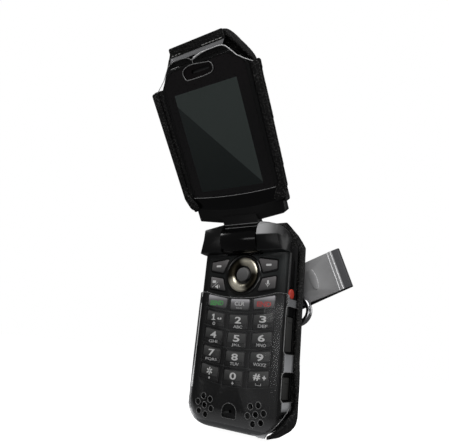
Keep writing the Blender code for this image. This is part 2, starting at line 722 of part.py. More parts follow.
def make_lid_sleeve(looks):
    def flange():
        low, high = FLANGE_LOW, FLANGE_HIGH
        return rounded([
            (-24.0, 18.0, 2.0), (-27.0, 18.6, 3.0), (-low, 25.0, 3.0), (-high, FLANGE_TOP, 1.0),
            (high, FLANGE_TOP, 1.0), (low, 25.0, 3.0), (27.0, 18.6, 3.0), (24.0, 18.0, 2.0),
        ])

    sheet = slab("lid_vinyl_window", rounded([
        (-23.0, 24.9, 0), (-28.0, 25.2, 2.0), (-29.2, 79.8, 1.0), (-21.0, 84.3, 6.0),
        (-15.2, 90.4, 3.0), (15.2, 90.4, 3.0), (21.0, 84.3, 6.0), (29.2, 79.8, 1.0),
        (28.0, 25.2, 2.0), (23.0, 24.9, 0), (0.0, 23.5, 0),
    ]), "Y", 0.9, 0.9 + VINYL_THICK, looks["vinyl"], LID)
    cut(sheet, slab("earpiece_window", rounded([
        (-10.0, 81.2, 2.4), (-8.6, 86.9, 2.4), (8.6, 86.9, 2.4), (8.6, 81.2, 2.4),
    ]), "Y", -3.0, 4.0))

    def pouch(name, grow, look=None, parent=None, front=1.6, far=LID_BACK + GAP, low=17.0):
        half = LID_HALF + GAP + grow
        plan = rounded([
            (-half, front, 0), (-half, far + grow, 4.2 + grow), (half, far + grow, 4.2 + grow),
            (half, front, 0),
        ])
        face = rounded([
            (-half, low, 0), (-half, 80.4, 0), (-STRAP_HALF + 1.4 - grow, STRAP[1] - 1.4 + grow, 2.0),
            (STRAP_HALF - 1.4 + grow, STRAP[1] - 1.4 + grow, 2.0), (half, 80.4, 0), (half, low, 0),
        ])
        side = rounded([
            (front, low - 1, 0), (far + grow, low - 1, 0),
            (far + grow, STRAP[1] - 1.4 + grow, 2.5 + grow), (front, STRAP[1] - 1.4 + grow, 0),
        ])
        return solid(name, plan, face, side, (low - 0.5, 110.0), look, parent)

    back = pouch("lid_leather_back", 1.4, looks["leather"], LID)
    join(back, slab("lid_flange", flange(), "Y", 1.6, 2.8, None, LID))
    cut(back, pouch("lid_pouch_hollow", 0.0, front=-5.0, low=5.0))
    cut(back, box("lid_pouch_mouth", (-60, 60), (-10, 4.7), (FLANGE_TOP, 130)))
    cut(back, box("lid_leather_foot", (-22.0, 22.0), (-10, 7.5), (0, 60)))

    for side, word in ((-1, "left"), (1, "right")):
        band = slab("lid_band_" + word, flange(), "Y", -0.3, 0.6, looks["leather"], LID)
        inner = [(-BAND_INNER, 26.0), (-BAND_INNER, 120.0), (BAND_INNER, 120.0), (BAND_INNER, 26.0),
                 (22.0, 20.6), (22.0, 0.0), (-22.0, 0.0), (-22.0, 20.6)]
        cut(band, slab("band_inner_" + word, inner, "Y", -5.0, 5.0))
        away = sorted((0.0, -side * 60.0))
        cut(band, box("band_other_" + word, away, (-5, 5), (0, 120)))
    bevel(box("lid_top_strap", (-STRAP_HALF, STRAP_HALF), (3.0, 4.4), STRAP, looks["leather"], LID), 0.3)


def make_back(looks):
    patch = slab("back_patch", rounded([
        (-25.0, -3.5, 2.5), (25.0, -3.5, 2.5), (25.0, -20.5, 2.0), (12.5, -23.6, 2.0),
        (10.5, -37.5, 4.0), (-10.5, -37.5, 4.0), (-12.5, -23.6, 2.0), (-25.0, -20.5, 2.0),
    ], 4), "Y", *PATCH, looks["leather"], PHONE)
    bevel(patch, 0.6, 2)
    stud = turned("clip_stud", [
        (PATCH[1] + GAP, 0.0), (PATCH[1] + GAP, 6.5), (20.3, 6.5), (LEAF_FRONT - GAP, 5.2),
        (LEAF_FRONT - GAP, 3.0), (ORIGIN_DEPTH + GAP, 3.0), (ORIGIN_DEPTH + GAP, 4.6),
        (ORIGIN_DEPTH + 0.9, 4.3), (ORIGIN_DEPTH + 1.2, 3.4), (ORIGIN_DEPTH + 1.2, 0.0),
    ], "Y", looks["steel"], empty("stud_home", (0.0, 0.0, STUD_Z), PHONE), 32)
    smooth(solidified(stud))

    loop_z = RING_TOP - 0.15
    low, high = RING_X - 2.0, RING_X + 2.0
    tab = rod("d_ring_tab", 2.5, "X", low, high, (RING_Y, loop_z), looks["leather"], PHONE, 28)
    join(tab, box("tab_tail", (RING_X - 2.0, RING_X + 2.0), (18.7, 19.7), (loop_z + 2.2, -9.0)))
    cut(tab, rod("tab_eye", 2.0, "X", RING_X - 5.0, RING_X + 5.0, (RING_Y, loop_z), sides=28))


def make_clip(looks):
    """A strip of spring steel folded on itself, with a belt gap that widens from the fold."""
    swivel = empty("clip_swivel", (0.0, LEAF_FRONT, STUD_Z), PHONE, (0.0, -CLIP_ANGLE, 0.0))
    middle = LEAF_THICK / 2
    fold = CLIP_END - 0.6
    line = [(-12.5, middle), (41.6, middle), (42.4, middle - 0.15), (43.4, middle), (fold, middle + 0.35)]
    for k in range(1, 6):
        turn = math.pi * k / 6
        line.append((fold + 0.6 * math.sin(turn), middle + 0.95 - 0.6 * math.cos(turn)))
    line += [(fold, middle + 1.55), (30.0, 3.9), (16.0, 6.0), (4.0, 6.7), (-4.0, 6.0), (-8.5, 4.6),
             (-10.5, 4.6), (-13.5, 6.6)]
    bm = bmesh.new()
    chain = [bm.verts.new((s * MM, d * MM, -CLIP_WIDE / 2 * MM)) for s, d in line]
    edges = [bm.edges.new(pair) for pair in zip(chain, chain[1:])]
    drawn = bmesh.ops.extrude_edge_only(bm, edges=edges)
    moved = [v for v in drawn["geom"] if isinstance(v, bmesh.types.BMVert)]
    bmesh.ops.translate(bm, vec=(0, 0, CLIP_WIDE * MM), verts=moved)
    mesh = bpy.data.meshes.new("belt_clip")
    bm.to_mesh(mesh)
    bm.free()
    clip = add("belt_clip", mesh, looks["nickel"], swivel)
    skin = clip.modifiers.new("Leaf", "SOLIDIFY")
    skin.thickness = LEAF_THICK * MM
    skin.offset = 0.0
    skin.use_even_offset = True
    solidified(clip)
    rib = rod("clip_rib", 1.0, "Y", -0.5, 0.5, (0.0, 0.0), sides=20)
    rib.data.transform(Matrix.Diagonal((1.75, 1.0, 5.35, 1.0)))
    rib.data.transform(Matrix.Translation((30.6 * MM, 0.0, 0.0)))
    join(clip, rib)
    cut(clip, rod("stud_hole", 3.4, "Y", -3.0, 3.0, (0.0, 0.0), sides=28))
    return clip


def make_ring(looks):
    pivot = empty("d_ring_pivot", (RING_X, RING_Y, RING_TOP), PHONE)
    bpy.ops.mesh.primitive_torus_add(
        major_radius=RING_MAJOR * MM, minor_radius=RING_WIRE * MM,
        major_segments=32, minor_segments=12,
    )
    made = bpy.context.object
    mesh = made.data
    bpy.data.objects.remove(made, do_unlink=True)
    mesh.transform(TURNS["Y"].to_4x4())
    mesh.transform(Matrix.Translation((0.0, 0.0, -RING_MAJOR * MM)))
    smooth(add("d_ring", mesh, looks["dark_metal"], pivot))


def make_looks():
    return {
        "case": finish("graphite_gloss", (0.012, 0.012, 0.014), 0.25),
        "rear": finish("black_matt", (0.015, 0.015, 0.016), 0.5),
        "key": finish("satin_grey", (0.06, 0.06, 0.065), 0.4, 0.3),
        "gold": finish("champagne_metal", (0.55, 0.5, 0.38), 0.25, 1.0),
        "red": finish("orange_red", (0.7, 0.06, 0.03), 0.4),
        "rubber": finish("black_rubber", (0.02, 0.02, 0.02), 0.7),
        "vinyl": finish("clear_vinyl", (0.6, 0.6, 0.62), 0.15),
        "leather": finish("black_leather", (0.014, 0.013, 0.013), 0.6),
        "glass": finish("black_glass", (0.01, 0.011, 0.012), 0.06),
        "screen": finish("slate_screen", (0.03, 0.04, 0.038), 0.2),
        "board": finish("board_green", (0.02, 0.1, 0.05), 0.5),
        "battery": finish("battery_wrap", (0.12, 0.12, 0.13), 0.5),
        "film": finish("dark_film", (0.05, 0.05, 0.05), 0.5),
        "steel": finish("plain_steel", (0.5, 0.5, 0.5), 0.35, 1.0),
        "nickel": finish("satin_nickel", (0.45, 0.45, 0.46), 0.35, 1.0),
        "dark_metal": finish("black_nickel", (0.06, 0.06, 0.065), 0.2, 1.0),
    }


clear_scene()
PARTS = collection("clamshell_phone_in_case")
CUTTERS = collection("cutters")
PHONE = empty("phone_frame", (0.0, -ORIGIN_DEPTH, -STUD_Z))
LID = empty("lid_hinge", (0.0, 0.0, 0.0), PHONE, (LID_TILT, 0.0, 0.0))
LOOKS = make_looks()
make_base(LOOKS)
make_keys(LOOKS)
make_side_controls(LOOKS)
make_base_sleeve(LOOKS)
make_lid(LOOKS)
make_lid_sleeve(LOOKS)
make_back(LOOKS)
make_clip(LOOKS)
make_ring(LOOKS)
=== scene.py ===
import math
import bpy
from mathutils import Matrix, Vector


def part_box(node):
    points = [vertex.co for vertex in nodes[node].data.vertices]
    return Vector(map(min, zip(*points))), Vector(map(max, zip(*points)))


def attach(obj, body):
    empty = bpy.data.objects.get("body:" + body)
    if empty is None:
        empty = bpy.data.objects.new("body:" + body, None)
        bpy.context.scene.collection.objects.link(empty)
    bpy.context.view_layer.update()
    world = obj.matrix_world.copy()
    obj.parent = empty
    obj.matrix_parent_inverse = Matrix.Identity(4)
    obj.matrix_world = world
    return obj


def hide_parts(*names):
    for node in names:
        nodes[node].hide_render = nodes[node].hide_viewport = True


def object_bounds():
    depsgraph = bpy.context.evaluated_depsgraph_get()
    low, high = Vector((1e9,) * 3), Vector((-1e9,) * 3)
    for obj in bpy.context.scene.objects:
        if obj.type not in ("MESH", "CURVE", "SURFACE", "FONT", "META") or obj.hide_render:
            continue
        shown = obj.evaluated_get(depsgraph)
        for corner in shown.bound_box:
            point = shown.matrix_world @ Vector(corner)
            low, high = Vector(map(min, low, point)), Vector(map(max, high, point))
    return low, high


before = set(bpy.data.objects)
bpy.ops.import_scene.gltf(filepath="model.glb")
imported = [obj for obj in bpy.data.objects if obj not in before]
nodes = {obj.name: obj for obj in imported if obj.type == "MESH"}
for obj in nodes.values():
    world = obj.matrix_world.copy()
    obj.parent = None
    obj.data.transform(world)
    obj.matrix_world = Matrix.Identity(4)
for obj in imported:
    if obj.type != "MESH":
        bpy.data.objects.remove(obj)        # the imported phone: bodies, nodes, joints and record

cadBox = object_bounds()
mm = 0.001
bpy.ops.object.select_all(action="DESELECT")

# The lid hinge's axis is the middle of its pin. Lengths below are in millimetres from it:
# x to the right, y to the back, z up the base, or up the lid for a piece of the lid.
pinLow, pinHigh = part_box("hinge_pin")
hinge = Vector((0.0, (pinLow.y + pinHigh.y) / 2, (pinLow.z + pinHigh.z) / 2))
lidTilt = math.radians(37.3)
clipSpot = Vector((0.0, 21.4, -27.3)) * mm
clipTurn = math.radians(-22.0)
onBase = Matrix.Translation(hinge)
onLid = onBase @ Matrix.Rotation(lidTilt, 4, "X")
onClip = onBase @ Matrix.Translation(clipSpot) @ Matrix.Rotation(clipTurn, 4, "Y")


class Wire:
    # one value on its way through a material, so that masks are written as sums
    def __init__(self, paint, socket):
        self.paint = paint
        self.socket = socket

    def join(self, operation, first, second):
        return self.paint.node("ShaderNodeMath", {"operation": operation}, {0: first, 1: second})

    def __add__(self, other):
        return self.join("ADD", self, other)

    def __sub__(self, other):
        return self.join("SUBTRACT", self, other)

    def __rsub__(self, other):
        return self.join("SUBTRACT", other, self)

    def __mul__(self, other):
        return self.join("MULTIPLY", self, other)

    def __truediv__(self, other):
        return self.join("DIVIDE", self, other)

    def __rtruediv__(self, other):
        return self.join("DIVIDE", other, self)

    def __pow__(self, other):
        return self.join("POWER", self, other)

    def cosine(self):
        return self.paint.node("ShaderNodeMath", {"operation": "COSINE"}, {0: self})

    __radd__ = __add__
    __rmul__ = __mul__


class Paint:
    # a material, built up from the Principled shader that it starts with
    def __init__(self, name, shader):
        self.material = bpy.data.materials.new(name)
        self.material.use_nodes = True
        self.tree = self.material.node_tree
        self.shader = self.tree.nodes["Principled BSDF"]
        self.feed(self.shader, shader)

    def feed(self, node, inputs):
        for key, value in inputs.items():
            if isinstance(value, Wire):
                self.tree.links.new(value.socket, node.inputs[key])
            else:
                node.inputs[key].default_value = value

    def node(self, kind, settings, inputs, output=0):
        made = self.tree.nodes.new(kind)
        for key, value in settings.items():
            if key == "stops":
                self.setStops(made.color_ramp, value)
            else:
                setattr(made, key, value)
        self.feed(made, inputs)
        return Wire(self, made.outputs[output])

    def setStops(self, ramp, stops):
        while len(ramp.elements) < len(stops):
            ramp.elements.new(1.0)
        for element, (place, colour) in zip(ramp.elements, stops):
            element.position = place
            element.color = (*colour, 1.0)

    def give(self, **inputs):
        names = {"colour": "Base Color", "roughness": "Roughness", "alpha": "Alpha", "bump": "Normal",
                 "metallic": "Metallic", "coat": "Coat Weight"}
        self.feed(self.shader, {names[key]: value for key, value in inputs.items()})
        return self.material

    # a point of the piece in millimetres, on the base, the lid or the clip
    def point(self, place=onBase):
        raw = self.node("ShaderNodeTexCoord", {}, {}, "Object")
        return self.node("ShaderNodeMapping", {"vector_type": "TEXTURE"}, {
            "Vector": raw, "Location": place.to_translation(), "Rotation": place.to_euler(),
            "Scale": (mm, mm, mm),
        })

    def axes(self, point):
        return [self.node("ShaderNodeSeparateXYZ", {}, {0: point}, k) for k in range(3)]

    def attribute(self, name):
        return self.node("ShaderNodeAttribute", {"attribute_name": name}, {}, "Fac")

    # 0 below low and 1 above high, softly between
    def step(self, value, low, high):
        return self.node("ShaderNodeMapRange", {"interpolation_type": "SMOOTHSTEP"}, {
            "Value": value, "From Min": low, "From Max": high,
        })

    def noise(self, point, size, detail=3.0, rough=0.55):
        return self.node("ShaderNodeTexNoise", {}, {
            "Vector": point, "Scale": 1.0 / size, "Detail": detail, "Roughness": rough,
        })

    def pebbles(self, point, size):
        return self.node("ShaderNodeTexVoronoi", {"feature": "SMOOTH_F1"}, {
            "Vector": point, "Scale": 1.0 / size, "Smoothness": 0.35,
        }, "Distance")

    def mix(self, amount, first, second):
        def colour(value):
            return value if isinstance(value, Wire) else (*value, 1.0)
        return self.node("ShaderNodeMix", {"data_type": "RGBA"}, {
            0: amount, 6: colour(first), 7: colour(second),
        }, 2)

    def relief(self, height, deep, strength=1.0):
        return self.node("ShaderNodeBump", {}, {
            "Height": height, "Distance": deep * mm, "Strength": strength,
        })


def grey(level):
    return (level, level, level)


def mouldedPlastic(name, colour, roughness, place=onBase, grain=0.35, speckle=0.004, specular=0.4):
    paint = Paint(name, {"Specular IOR Level": specular})
    point = paint.point(place)
    cloud = paint.noise(point, 9.0, 2.0)
    fine = paint.noise(point, grain, 2.0)
    darker = tuple(c * 0.72 for c in colour)
    return paint.give(
        colour=paint.mix(cloud, darker, tuple(c * 1.25 for c in colour)),
        roughness=fine * 0.12 + cloud * 0.1 + (roughness - 0.11),
        bump=paint.relief(fine, speckle),
    )


def baseFace():
    paint = Paint("graphite_face", {"Specular IOR Level": 0.3})
    point = paint.point()
    x, y, z = paint.axes(point)
    fine = paint.noise(point, 0.25, 2.0)
    # painted light: the face is painted lighter upwards and towards the right, and painted shade up against
    # the hinge
    above = paint.step(z, -30.0, -9.0)
    toRight = paint.step(x, -24.0, 20.0)
    onFront = 1.0 - paint.step(y, 1.6, 2.6)
    hingeShade = 1.0 - paint.step(z, -7.0, -5.8)
    light = above * (toRight * 0.75 + 0.25) * onFront * hingeShade
    face = paint.mix(light, (0.0036, 0.0038, 0.0039), (0.030, 0.034, 0.034))
    # painted highlight: the right barrel's upper face is painted grey, and fades to its rounded end
    upper = paint.step(z + (y + 6.0) * 0.15, 0.5, 1.2) * paint.step(x, 10.2, 10.6)
    paintedSheen = upper * (1.0 - paint.step(x, 12.0, 24.5)) * (1.0 - paint.step(y, -2.5, 2.0))
    return paint.give(
        colour=paint.mix(paintedSheen, face, (0.60, 0.60, 0.605)), roughness=fine * 0.1 + 0.3 + paintedSheen * 0.25,
        bump=paint.relief(fine, 0.006),
    )


def lidCaseGloss():
    paint = Paint("lid_gloss_black", {"Specular IOR Level": 0.3})
    point = paint.point(onLid)
    x, y, z = paint.axes(point)
    fine = paint.noise(point, 0.3, 2.0)
    # the chin is matt below a shallow curve
    matt = (1.0 - paint.step(z - (16.4 + 0.004 * x * x), -0.25, 0.25)) * paint.step(z, 8.6, 9.2)
    return paint.give(
        colour=paint.mix(matt, (0.0020, 0.0020, 0.0021), (0.0050, 0.0050, 0.0050)),
        roughness=matt * 0.3 + fine * 0.08 + 0.12,
        bump=paint.relief(fine * matt, 0.012),
    )


def windowGlass():
    paint = Paint("window_glass", {"Specular IOR Level": 0.3, "Coat Roughness": 0.03})
    x, y, z = paint.axes(paint.point(onLid))
    inside = (
        paint.step(x, -18.45, -18.3) * (1.0 - paint.step(x, 17.6, 17.75))
        * paint.step(z, 27.1, 27.25) * (1.0 - paint.step(z, 76.0, 76.15))
    )
    # painted reflection on the display: one half is lighter, split from the upper left to the lower right,
    # and both halves lighten upwards
    reflectionSplit = paint.step(z + x * 1.19, 48.4, 49.2)
    fall = paint.step(z, 20.0, 80.0)
    upper = paint.mix(fall, (0.060, 0.074, 0.070), (0.068, 0.084, 0.079))
    lower = paint.mix(fall, (0.0105, 0.0160, 0.0150), (0.026, 0.034, 0.0325))
    glow = paint.noise(paint.point(onLid), 14.0, 1.0)
    warmth = paint.step(z + x * 0.3, 60.0, 92.0) * glow
    warm = paint.mix(warmth, (0.0042, 0.0036, 0.0040), (0.011, 0.0075, 0.0085))
    return paint.give(
        colour=paint.mix(inside, warm, paint.mix(reflectionSplit, lower, upper)),
        roughness=glow * 0.04 + 0.05,
    )


# a key is painted lighter towards its top, a painted highlight where light falls from above, and darker
# towards its foot, painted shade
def keyFinish(name, top, middle, foot, specular=0.35, roughness=0.36, turning=0.55):
    paint = Paint(name, {"Specular IOR Level": specular, "Metallic": 0.0})
    point = paint.point()
    rise = paint.attribute("rise")
    fine = paint.noise(point, 0.22, 2.0)
    shade = paint.node("ShaderNodeValToRGB", {"stops": [
        (0.0, foot), (turning, middle), (1.0, top),
    ]}, {0: rise + (fine - 0.5) * 0.08}, 0)
    return paint.give(colour=shade, roughness=fine * 0.1 + roughness, bump=paint.relief(fine, 0.004))


def legendFinish(name, colour, wear=0.12):
    paint = Paint(name, {"Specular IOR Level": 0.3})
    point = paint.point()
    patch = paint.noise(point, 0.6, 3.0)
    return paint.give(
        colour=paint.mix(patch * wear * 2.0, colour, tuple(c * 0.6 for c in colour)),
        roughness=patch * 0.15 + 0.4,
    )


def champagneMetal():
    paint = Paint("champagne_metal", {"Metallic": 1.0})
    point = paint.point(onBase @ Matrix.Translation((0.0, 0.0, -17.0 * mm)))
    x, y, z = paint.axes(point)
    around = z.join("ARCTAN2", z, x)
    # painted reflection on the turned metal: two light fans opposite each other, upper right and lower
    # left, with dark between
    fan = ((around - 0.95) * 2.0).cosine()
    lowFan = ((around + 2.05) * 2.0).cosine()
    below = 1.0 - paint.step(z + x * 0.4, -1.2, 1.2)
    paintedHighlight = paint.step(fan * (1.0 - below) + lowFan * below, -0.45, 0.85)
    out = paint.node("ShaderNodeCombineXYZ", {}, {"X": (x * x + z * z) ** 0.5})
    rings = paint.noise(out, 1.0 / 9.0, 2.0, 0.5)
    colour = paint.mix(paintedHighlight, (0.022, 0.019, 0.013), (0.97, 0.91, 0.74))
    return paint.give(
        colour=colour, roughness=rings * 0.15 + 0.3, bump=paint.relief(rings, 0.01),
    )


# pale and dark are how much of a light and a dark grey veil show, gloss how much the sheet mirrors
def clearVinyl(name, place, haze, cased=False, veil=(0.62, 0.63, 0.65)):
    paint = Paint(name, {"Specular IOR Level": 0.0})
    point = paint.point(place)
    x, y, z = paint.axes(point)
    ripple = paint.noise(point, 12.0, 2.0)
    pale = ripple * haze * 0.6 + haze * 0.7
    dark = 0.0
    if cased:
        # painted light and shade on the sleeve: a pale veil on the right side and in the lower left corner,
        # a dark veil on the left side, and a dark veil with a little pale along the sole
        low = 1.0 - paint.step(z, -70.0, -56.0)
        paintedSideLight = paint.step(x, 25.1, 25.4) * (0.3 + 0.35 * (1.0 - paint.step(z, -62.0, -45.0)))
        leftSide = paint.step(0.0 - x, 22.3, 24.2)
        inX = x.join("MAXIMUM", 0.0 - x - 11.2, 0.0)
        inZ = z.join("MAXIMUM", -73.9 - z, 0.0)
        corner = paint.step((inX * inX + inZ * inZ) ** 0.5, 10.5, 15.0) * low
        soleLightAndShade = 1.0 - paint.step(z, -88.0, -79.0)
        # a soft reflection lies over the right of the keys, with a slanting edge
        lit = paint.step(x + 12.0 + (z + 40.0) * 0.52, -0.5, 0.7) * paint.step(y, 0.9, 0.4)
        pale = pale + paintedSideLight + corner * 0.4 + soleLightAndShade * 0.1 + lit * 0.011
        dark = leftSide * (0.95 - low * 0.75) + soleLightAndShade * (1.0 - corner) * 0.85
    facing = paint.node("ShaderNodeLayerWeight", {}, {"Blend": 0.5}, "Facing")
    gloss = facing ** 5.0 * 0.4 + 0.015
    share = pale + dark + gloss
    seen = share.join("MINIMUM", share, 1.0)
    veiled = paint.mix(pale / (pale + dark + 0.0001), grey(0.03), veil)
    paint.give(
        colour=paint.mix(gloss / share, veiled, grey(0.95)), metallic=gloss / share,
        roughness=ripple * 0.06 + 0.12, bump=paint.relief(ripple, 0.1, 0.1),
    )
    clear = paint.node("ShaderNodeBsdfTransparent", {}, {"Color": (0.98, 0.98, 0.98, 1.0)})
    body = Wire(paint, paint.shader.outputs[0])
    whole = paint.node("ShaderNodeMixShader", {}, {0: seen, 1: clear, 2: body})
    paint.feed(paint.tree.nodes["Material Output"], {"Surface": whole})
    return paint.material


# a cut edge of a sheet as a bead painted pale, a painted highlight along the edge, or painted dark, painted
# shade
def paintedVinylEdge(name, level, alpha, place=onBase):
    paint = Paint(name, {"Specular IOR Level": 0.6})
    point = paint.point(place)
    along = paint.noise(point, 1.6, 2.0)
    return paint.give(
        colour=paint.mix(along, grey(level * 0.72), grey(level)), roughness=along * 0.1 + 0.12,
        alpha=along * 0.35 + (alpha - 0.17),
    )


def pebbledLeather(name, place=onBase, colour=(0.0034, 0.0033, 0.0032), size=0.95):
    paint = Paint(name, {"Specular IOR Level": 0.32})
    point = paint.point(place)
    cells = paint.pebbles(point, size)
    patches = paint.noise(point, 6.0, 3.0)
    fine = paint.noise(point, 0.18, 3.0)
    crest = 1.0 - paint.step(cells, 0.12, 0.62)
    # the pebbles' crests are painted lighter in patches: wear, and a painted highlight on the crests
    wearAndGlint = crest * crest * paint.step(patches, 0.38, 0.68)
    return paint.give(
        colour=paint.mix(wearAndGlint, colour, tuple(c * 24.0 for c in colour)),
        roughness=0.66 - crest * 0.22 + fine * 0.1,
        bump=paint.relief(crest + fine * 0.2, 0.3, 1.0),
    )


def threadFinish(name, colour, place=onBase):
    paint = Paint(name, {"Specular IOR Level": 0.3, "Sheen Weight": 0.2})
    point = paint.point(place)
    twist = paint.noise(point, 0.12, 2.0)
    return paint.give(
        colour=paint.mix(twist, tuple(c * 0.5 for c in colour), colour), roughness=twist * 0.1 + 0.6,
        bump=paint.relief(twist, 0.03),
    )


def brushedMetal(name, colour, roughness, place=onBase, stretch=(0.12, 3.0, 9.0), metallic=1.0):
    paint = Paint(name, {"Metallic": metallic})
    point = paint.point(place)
    stretched = paint.node("ShaderNodeVectorMath", {"operation": "DIVIDE"}, {0: point, 1: stretch})
    lines = paint.noise(stretched, 1.0, rough=0.5)
    smudge = paint.noise(point, 6.0, 2.0)
    return paint.give(
        colour=paint.mix(lines * 0.6 + smudge * 0.3, tuple(c * 0.8 for c in colour), colour),
        roughness=lines * 0.12 + smudge * 0.1 + (roughness - 0.1),
        bump=paint.relief(lines, 0.004),
    )


def clipNickel():
    paint = Paint("satin_nickel", {"Metallic": 0.35})
    point = paint.point(onClip)
    s, d = paint.axes(point)[:2]
    stretched = paint.node("ShaderNodeVectorMath", {"operation": "DIVIDE"}, {0: point, 1: (5.0, 3.0, 0.1)})
    grain = paint.noise(stretched, 1.0, rough=0.5)
    smudge = paint.noise(point, 8.0, 2.0)
    # painted shade: the lip past the bend and the leaf's underside are painted dark
    band = paint.step(s, 43.6, 43.9)
    shadedUnder = paint.step(d, 0.5, 0.8)
    front = paint.mix(smudge, (0.34, 0.34, 0.342), (0.43, 0.43, 0.435))
    dark = paint.mix(band, front, (0.085, 0.085, 0.09))
    return paint.give(
        colour=paint.mix(shadedUnder, dark, grey(0.05)),
        roughness=grain * 0.1 + smudge * 0.08 + 0.46, bump=paint.relief(grain, 0.004),
    )


finishes = {
    "face": baseFace(),
    "lidCase": lidCaseGloss(),
    "glass": windowGlass(),
    "rear": mouldedPlastic("matt_black_case", (0.010, 0.010, 0.0105), 0.5, grain=0.4, speckle=0.02),
    "softKey": keyFinish(
        "satin_key", (0.235, 0.225, 0.225), (0.115, 0.11, 0.11), (0.035, 0.036, 0.036),
    ),
    "callKey": keyFinish(
        "call_key", (0.78, 0.77, 0.80), (0.20, 0.195, 0.20), grey(0.045), turning=0.62,
    ),
    "keyFoot": keyFinish("number_key_foot", grey(0.012), grey(0.009), grey(0.006)),
    "keyPanel": keyFinish(
        "number_key_panel", (0.085, 0.085, 0.083), (0.052, 0.052, 0.051), grey(0.030),
    ),
    "okKey": keyFinish("select_key", grey(0.20), grey(0.13), grey(0.06), turning=0.6),
    "rowLine": mouldedPlastic("raised_line", (0.030, 0.031, 0.031), 0.4),
    "gold": champagneMetal(),
    "ringGloss": mouldedPlastic("navigator_gloss_black", (0.004, 0.004, 0.0035), 0.16, specular=0.5),
    "recessShade": mouldedPlastic("key_well_black", (0.0022, 0.0022, 0.0022), 0.45, specular=0.15),
    "white": legendFinish("legend_white", (0.80, 0.80, 0.79)),
    "faint": legendFinish("legend_small", (0.62, 0.62, 0.62)),
    "green": legendFinish("legend_green", (0.09, 0.46, 0.11)),
    "redPrint": legendFinish("legend_red", (0.62, 0.07, 0.07)),
    "redKey": mouldedPlastic("orange_red_key", (0.62, 0.045, 0.025), 0.38, grain=0.3),
    "rubber": mouldedPlastic("black_rubber", (0.020, 0.020, 0.0185), 0.62, grain=0.3, speckle=0.03),
    "vinyl": clearVinyl("clear_vinyl", onBase, 0.002, True),
    "lidVinyl": clearVinyl("clear_vinyl_lid", onLid, 0.0006),
    "vinylRoll": clearVinyl("rolled_vinyl", onLid, 0.45, veil=(0.30, 0.30, 0.31)),
    "edge": paintedVinylEdge("vinyl_edge", 0.42, 0.6),
    "softEdge": paintedVinylEdge("vinyl_edge_soft", 0.28, 0.6),
    "shadedEdge": paintedVinylEdge("vinyl_edge_shaded", 0.02, 0.8),
    "lidEdge": paintedVinylEdge("vinyl_edge_lid", 1.0, 0.98, onLid),
    "lidSoftEdge": paintedVinylEdge("vinyl_edge_lid_soft", 0.42, 0.75, onLid),
    "leather": pebbledLeather("pebbled_leather"),
    "lidLeather": pebbledLeather("pebbled_leather_lid", onLid),
    "darkThread": threadFinish("dark_thread", (0.028, 0.028, 0.026)),
    "paleThread": threadFinish("pale_thread", (0.62, 0.62, 0.60), onLid),
    "nickel": clipNickel(),
    "paintedHighlight": brushedMetal("nickel_painted_glint", (0.96, 0.96, 0.97), 0.42, onClip, (9.0, 3.0, 9.0), 0.4),
    "steel": brushedMetal("plain_steel", (0.42, 0.42, 0.43), 0.34),
    "blackNickel": brushedMetal("black_nickel", (0.42, 0.42, 0.43), 0.2, stretch=(2.0, 2.0, 2.0)),
    "board": mouldedPlastic("board_green", (0.02, 0.10, 0.05), 0.5, grain=0.6),
    "battery": mouldedPlastic("battery_wrap", (0.12, 0.12, 0.13), 0.45, grain=1.2),
    "film": mouldedPlastic("dark_film", (0.04, 0.04, 0.042), 0.5, grain=0.5),
    "screen": mouldedPlastic("slate_screen", (0.03, 0.036, 0.034), 0.2, onLid, grain=0.5),
}
print("finishes ready:", len(finishes))


def placed(name, data):
    made = bpy.data.objects.new(name, data)
    bpy.context.scene.collection.objects.link(made)
    return made


def choose(piece):
    bpy.ops.object.select_all(action="DESELECT")
    piece.select_set(True)
    bpy.context.view_layer.objects.active = piece


def applied(piece, kind, **settings):
    choose(piece)
    step = piece.modifiers.new(kind.title(), kind)
    for key, value in settings.items():
        setattr(step, key, value)
    bpy.ops.object.modifier_apply(modifier=step.name)
    return piece


def softEdges(piece, width, segments=2, angle=35.0):
    return applied(
        piece, "BEVEL", width=width * mm, segments=segments, limit_method="ANGLE",
        angle_limit=math.radians(angle),
    )


def smoothed(piece, angle=35.0):
    choose(piece)
    bpy.ops.object.shade_smooth_by_angle(angle=math.radians(angle))
    return piece


def roundedOutline(corners, steps=6):
    points = []
    for i, (x, z, radius) in enumerate(corners):
        here = Vector((x, z))
        if radius <= 0:
            points.append(here)
            continue
        before = (Vector(corners[i - 1][:2]) - here).normalized()
        after = (Vector(corners[(i + 1) % len(corners)][:2]) - here).normalized()
        half = before.angle(after) / 2
        centre = here + (before + after).normalized() * radius / math.sin(half)
        start = here + before * radius / math.tan(half) - centre
        swing = start.angle_signed(here + after * radius / math.tan(half) - centre)
        for k in range(steps + 1):
            points.append(centre + Matrix.Rotation(-swing * k / steps, 2) @ start)
    return points


def circleOutline(x, z, radius, count=48):
    turns = [2 * math.pi * k / count for k in range(count)]
    return [(x + radius * math.cos(t), z + radius * math.sin(t)) for t in turns]


def boxOutline(left, right, high, low, radius, steps=6):
    return roundedOutline([
        (left, high, radius), (right, high, radius), (right, low, radius), (left, low, radius),
    ], steps)


# a ring of corners to pull or spin into a solid
def drawnRing(corners, fill):
    bpy.ops.object.select_all(action="DESELECT")
    bpy.ops.mesh.primitive_circle_add(vertices=len(corners), radius=mm, fill_type=fill)
    piece = bpy.context.object
    for vertex, corner in zip(piece.data.vertices, corners):
        vertex.co = Vector(corner) * mm
    bpy.ops.object.mode_set(mode="EDIT")
    bpy.ops.mesh.select_all(action="SELECT")
    return piece


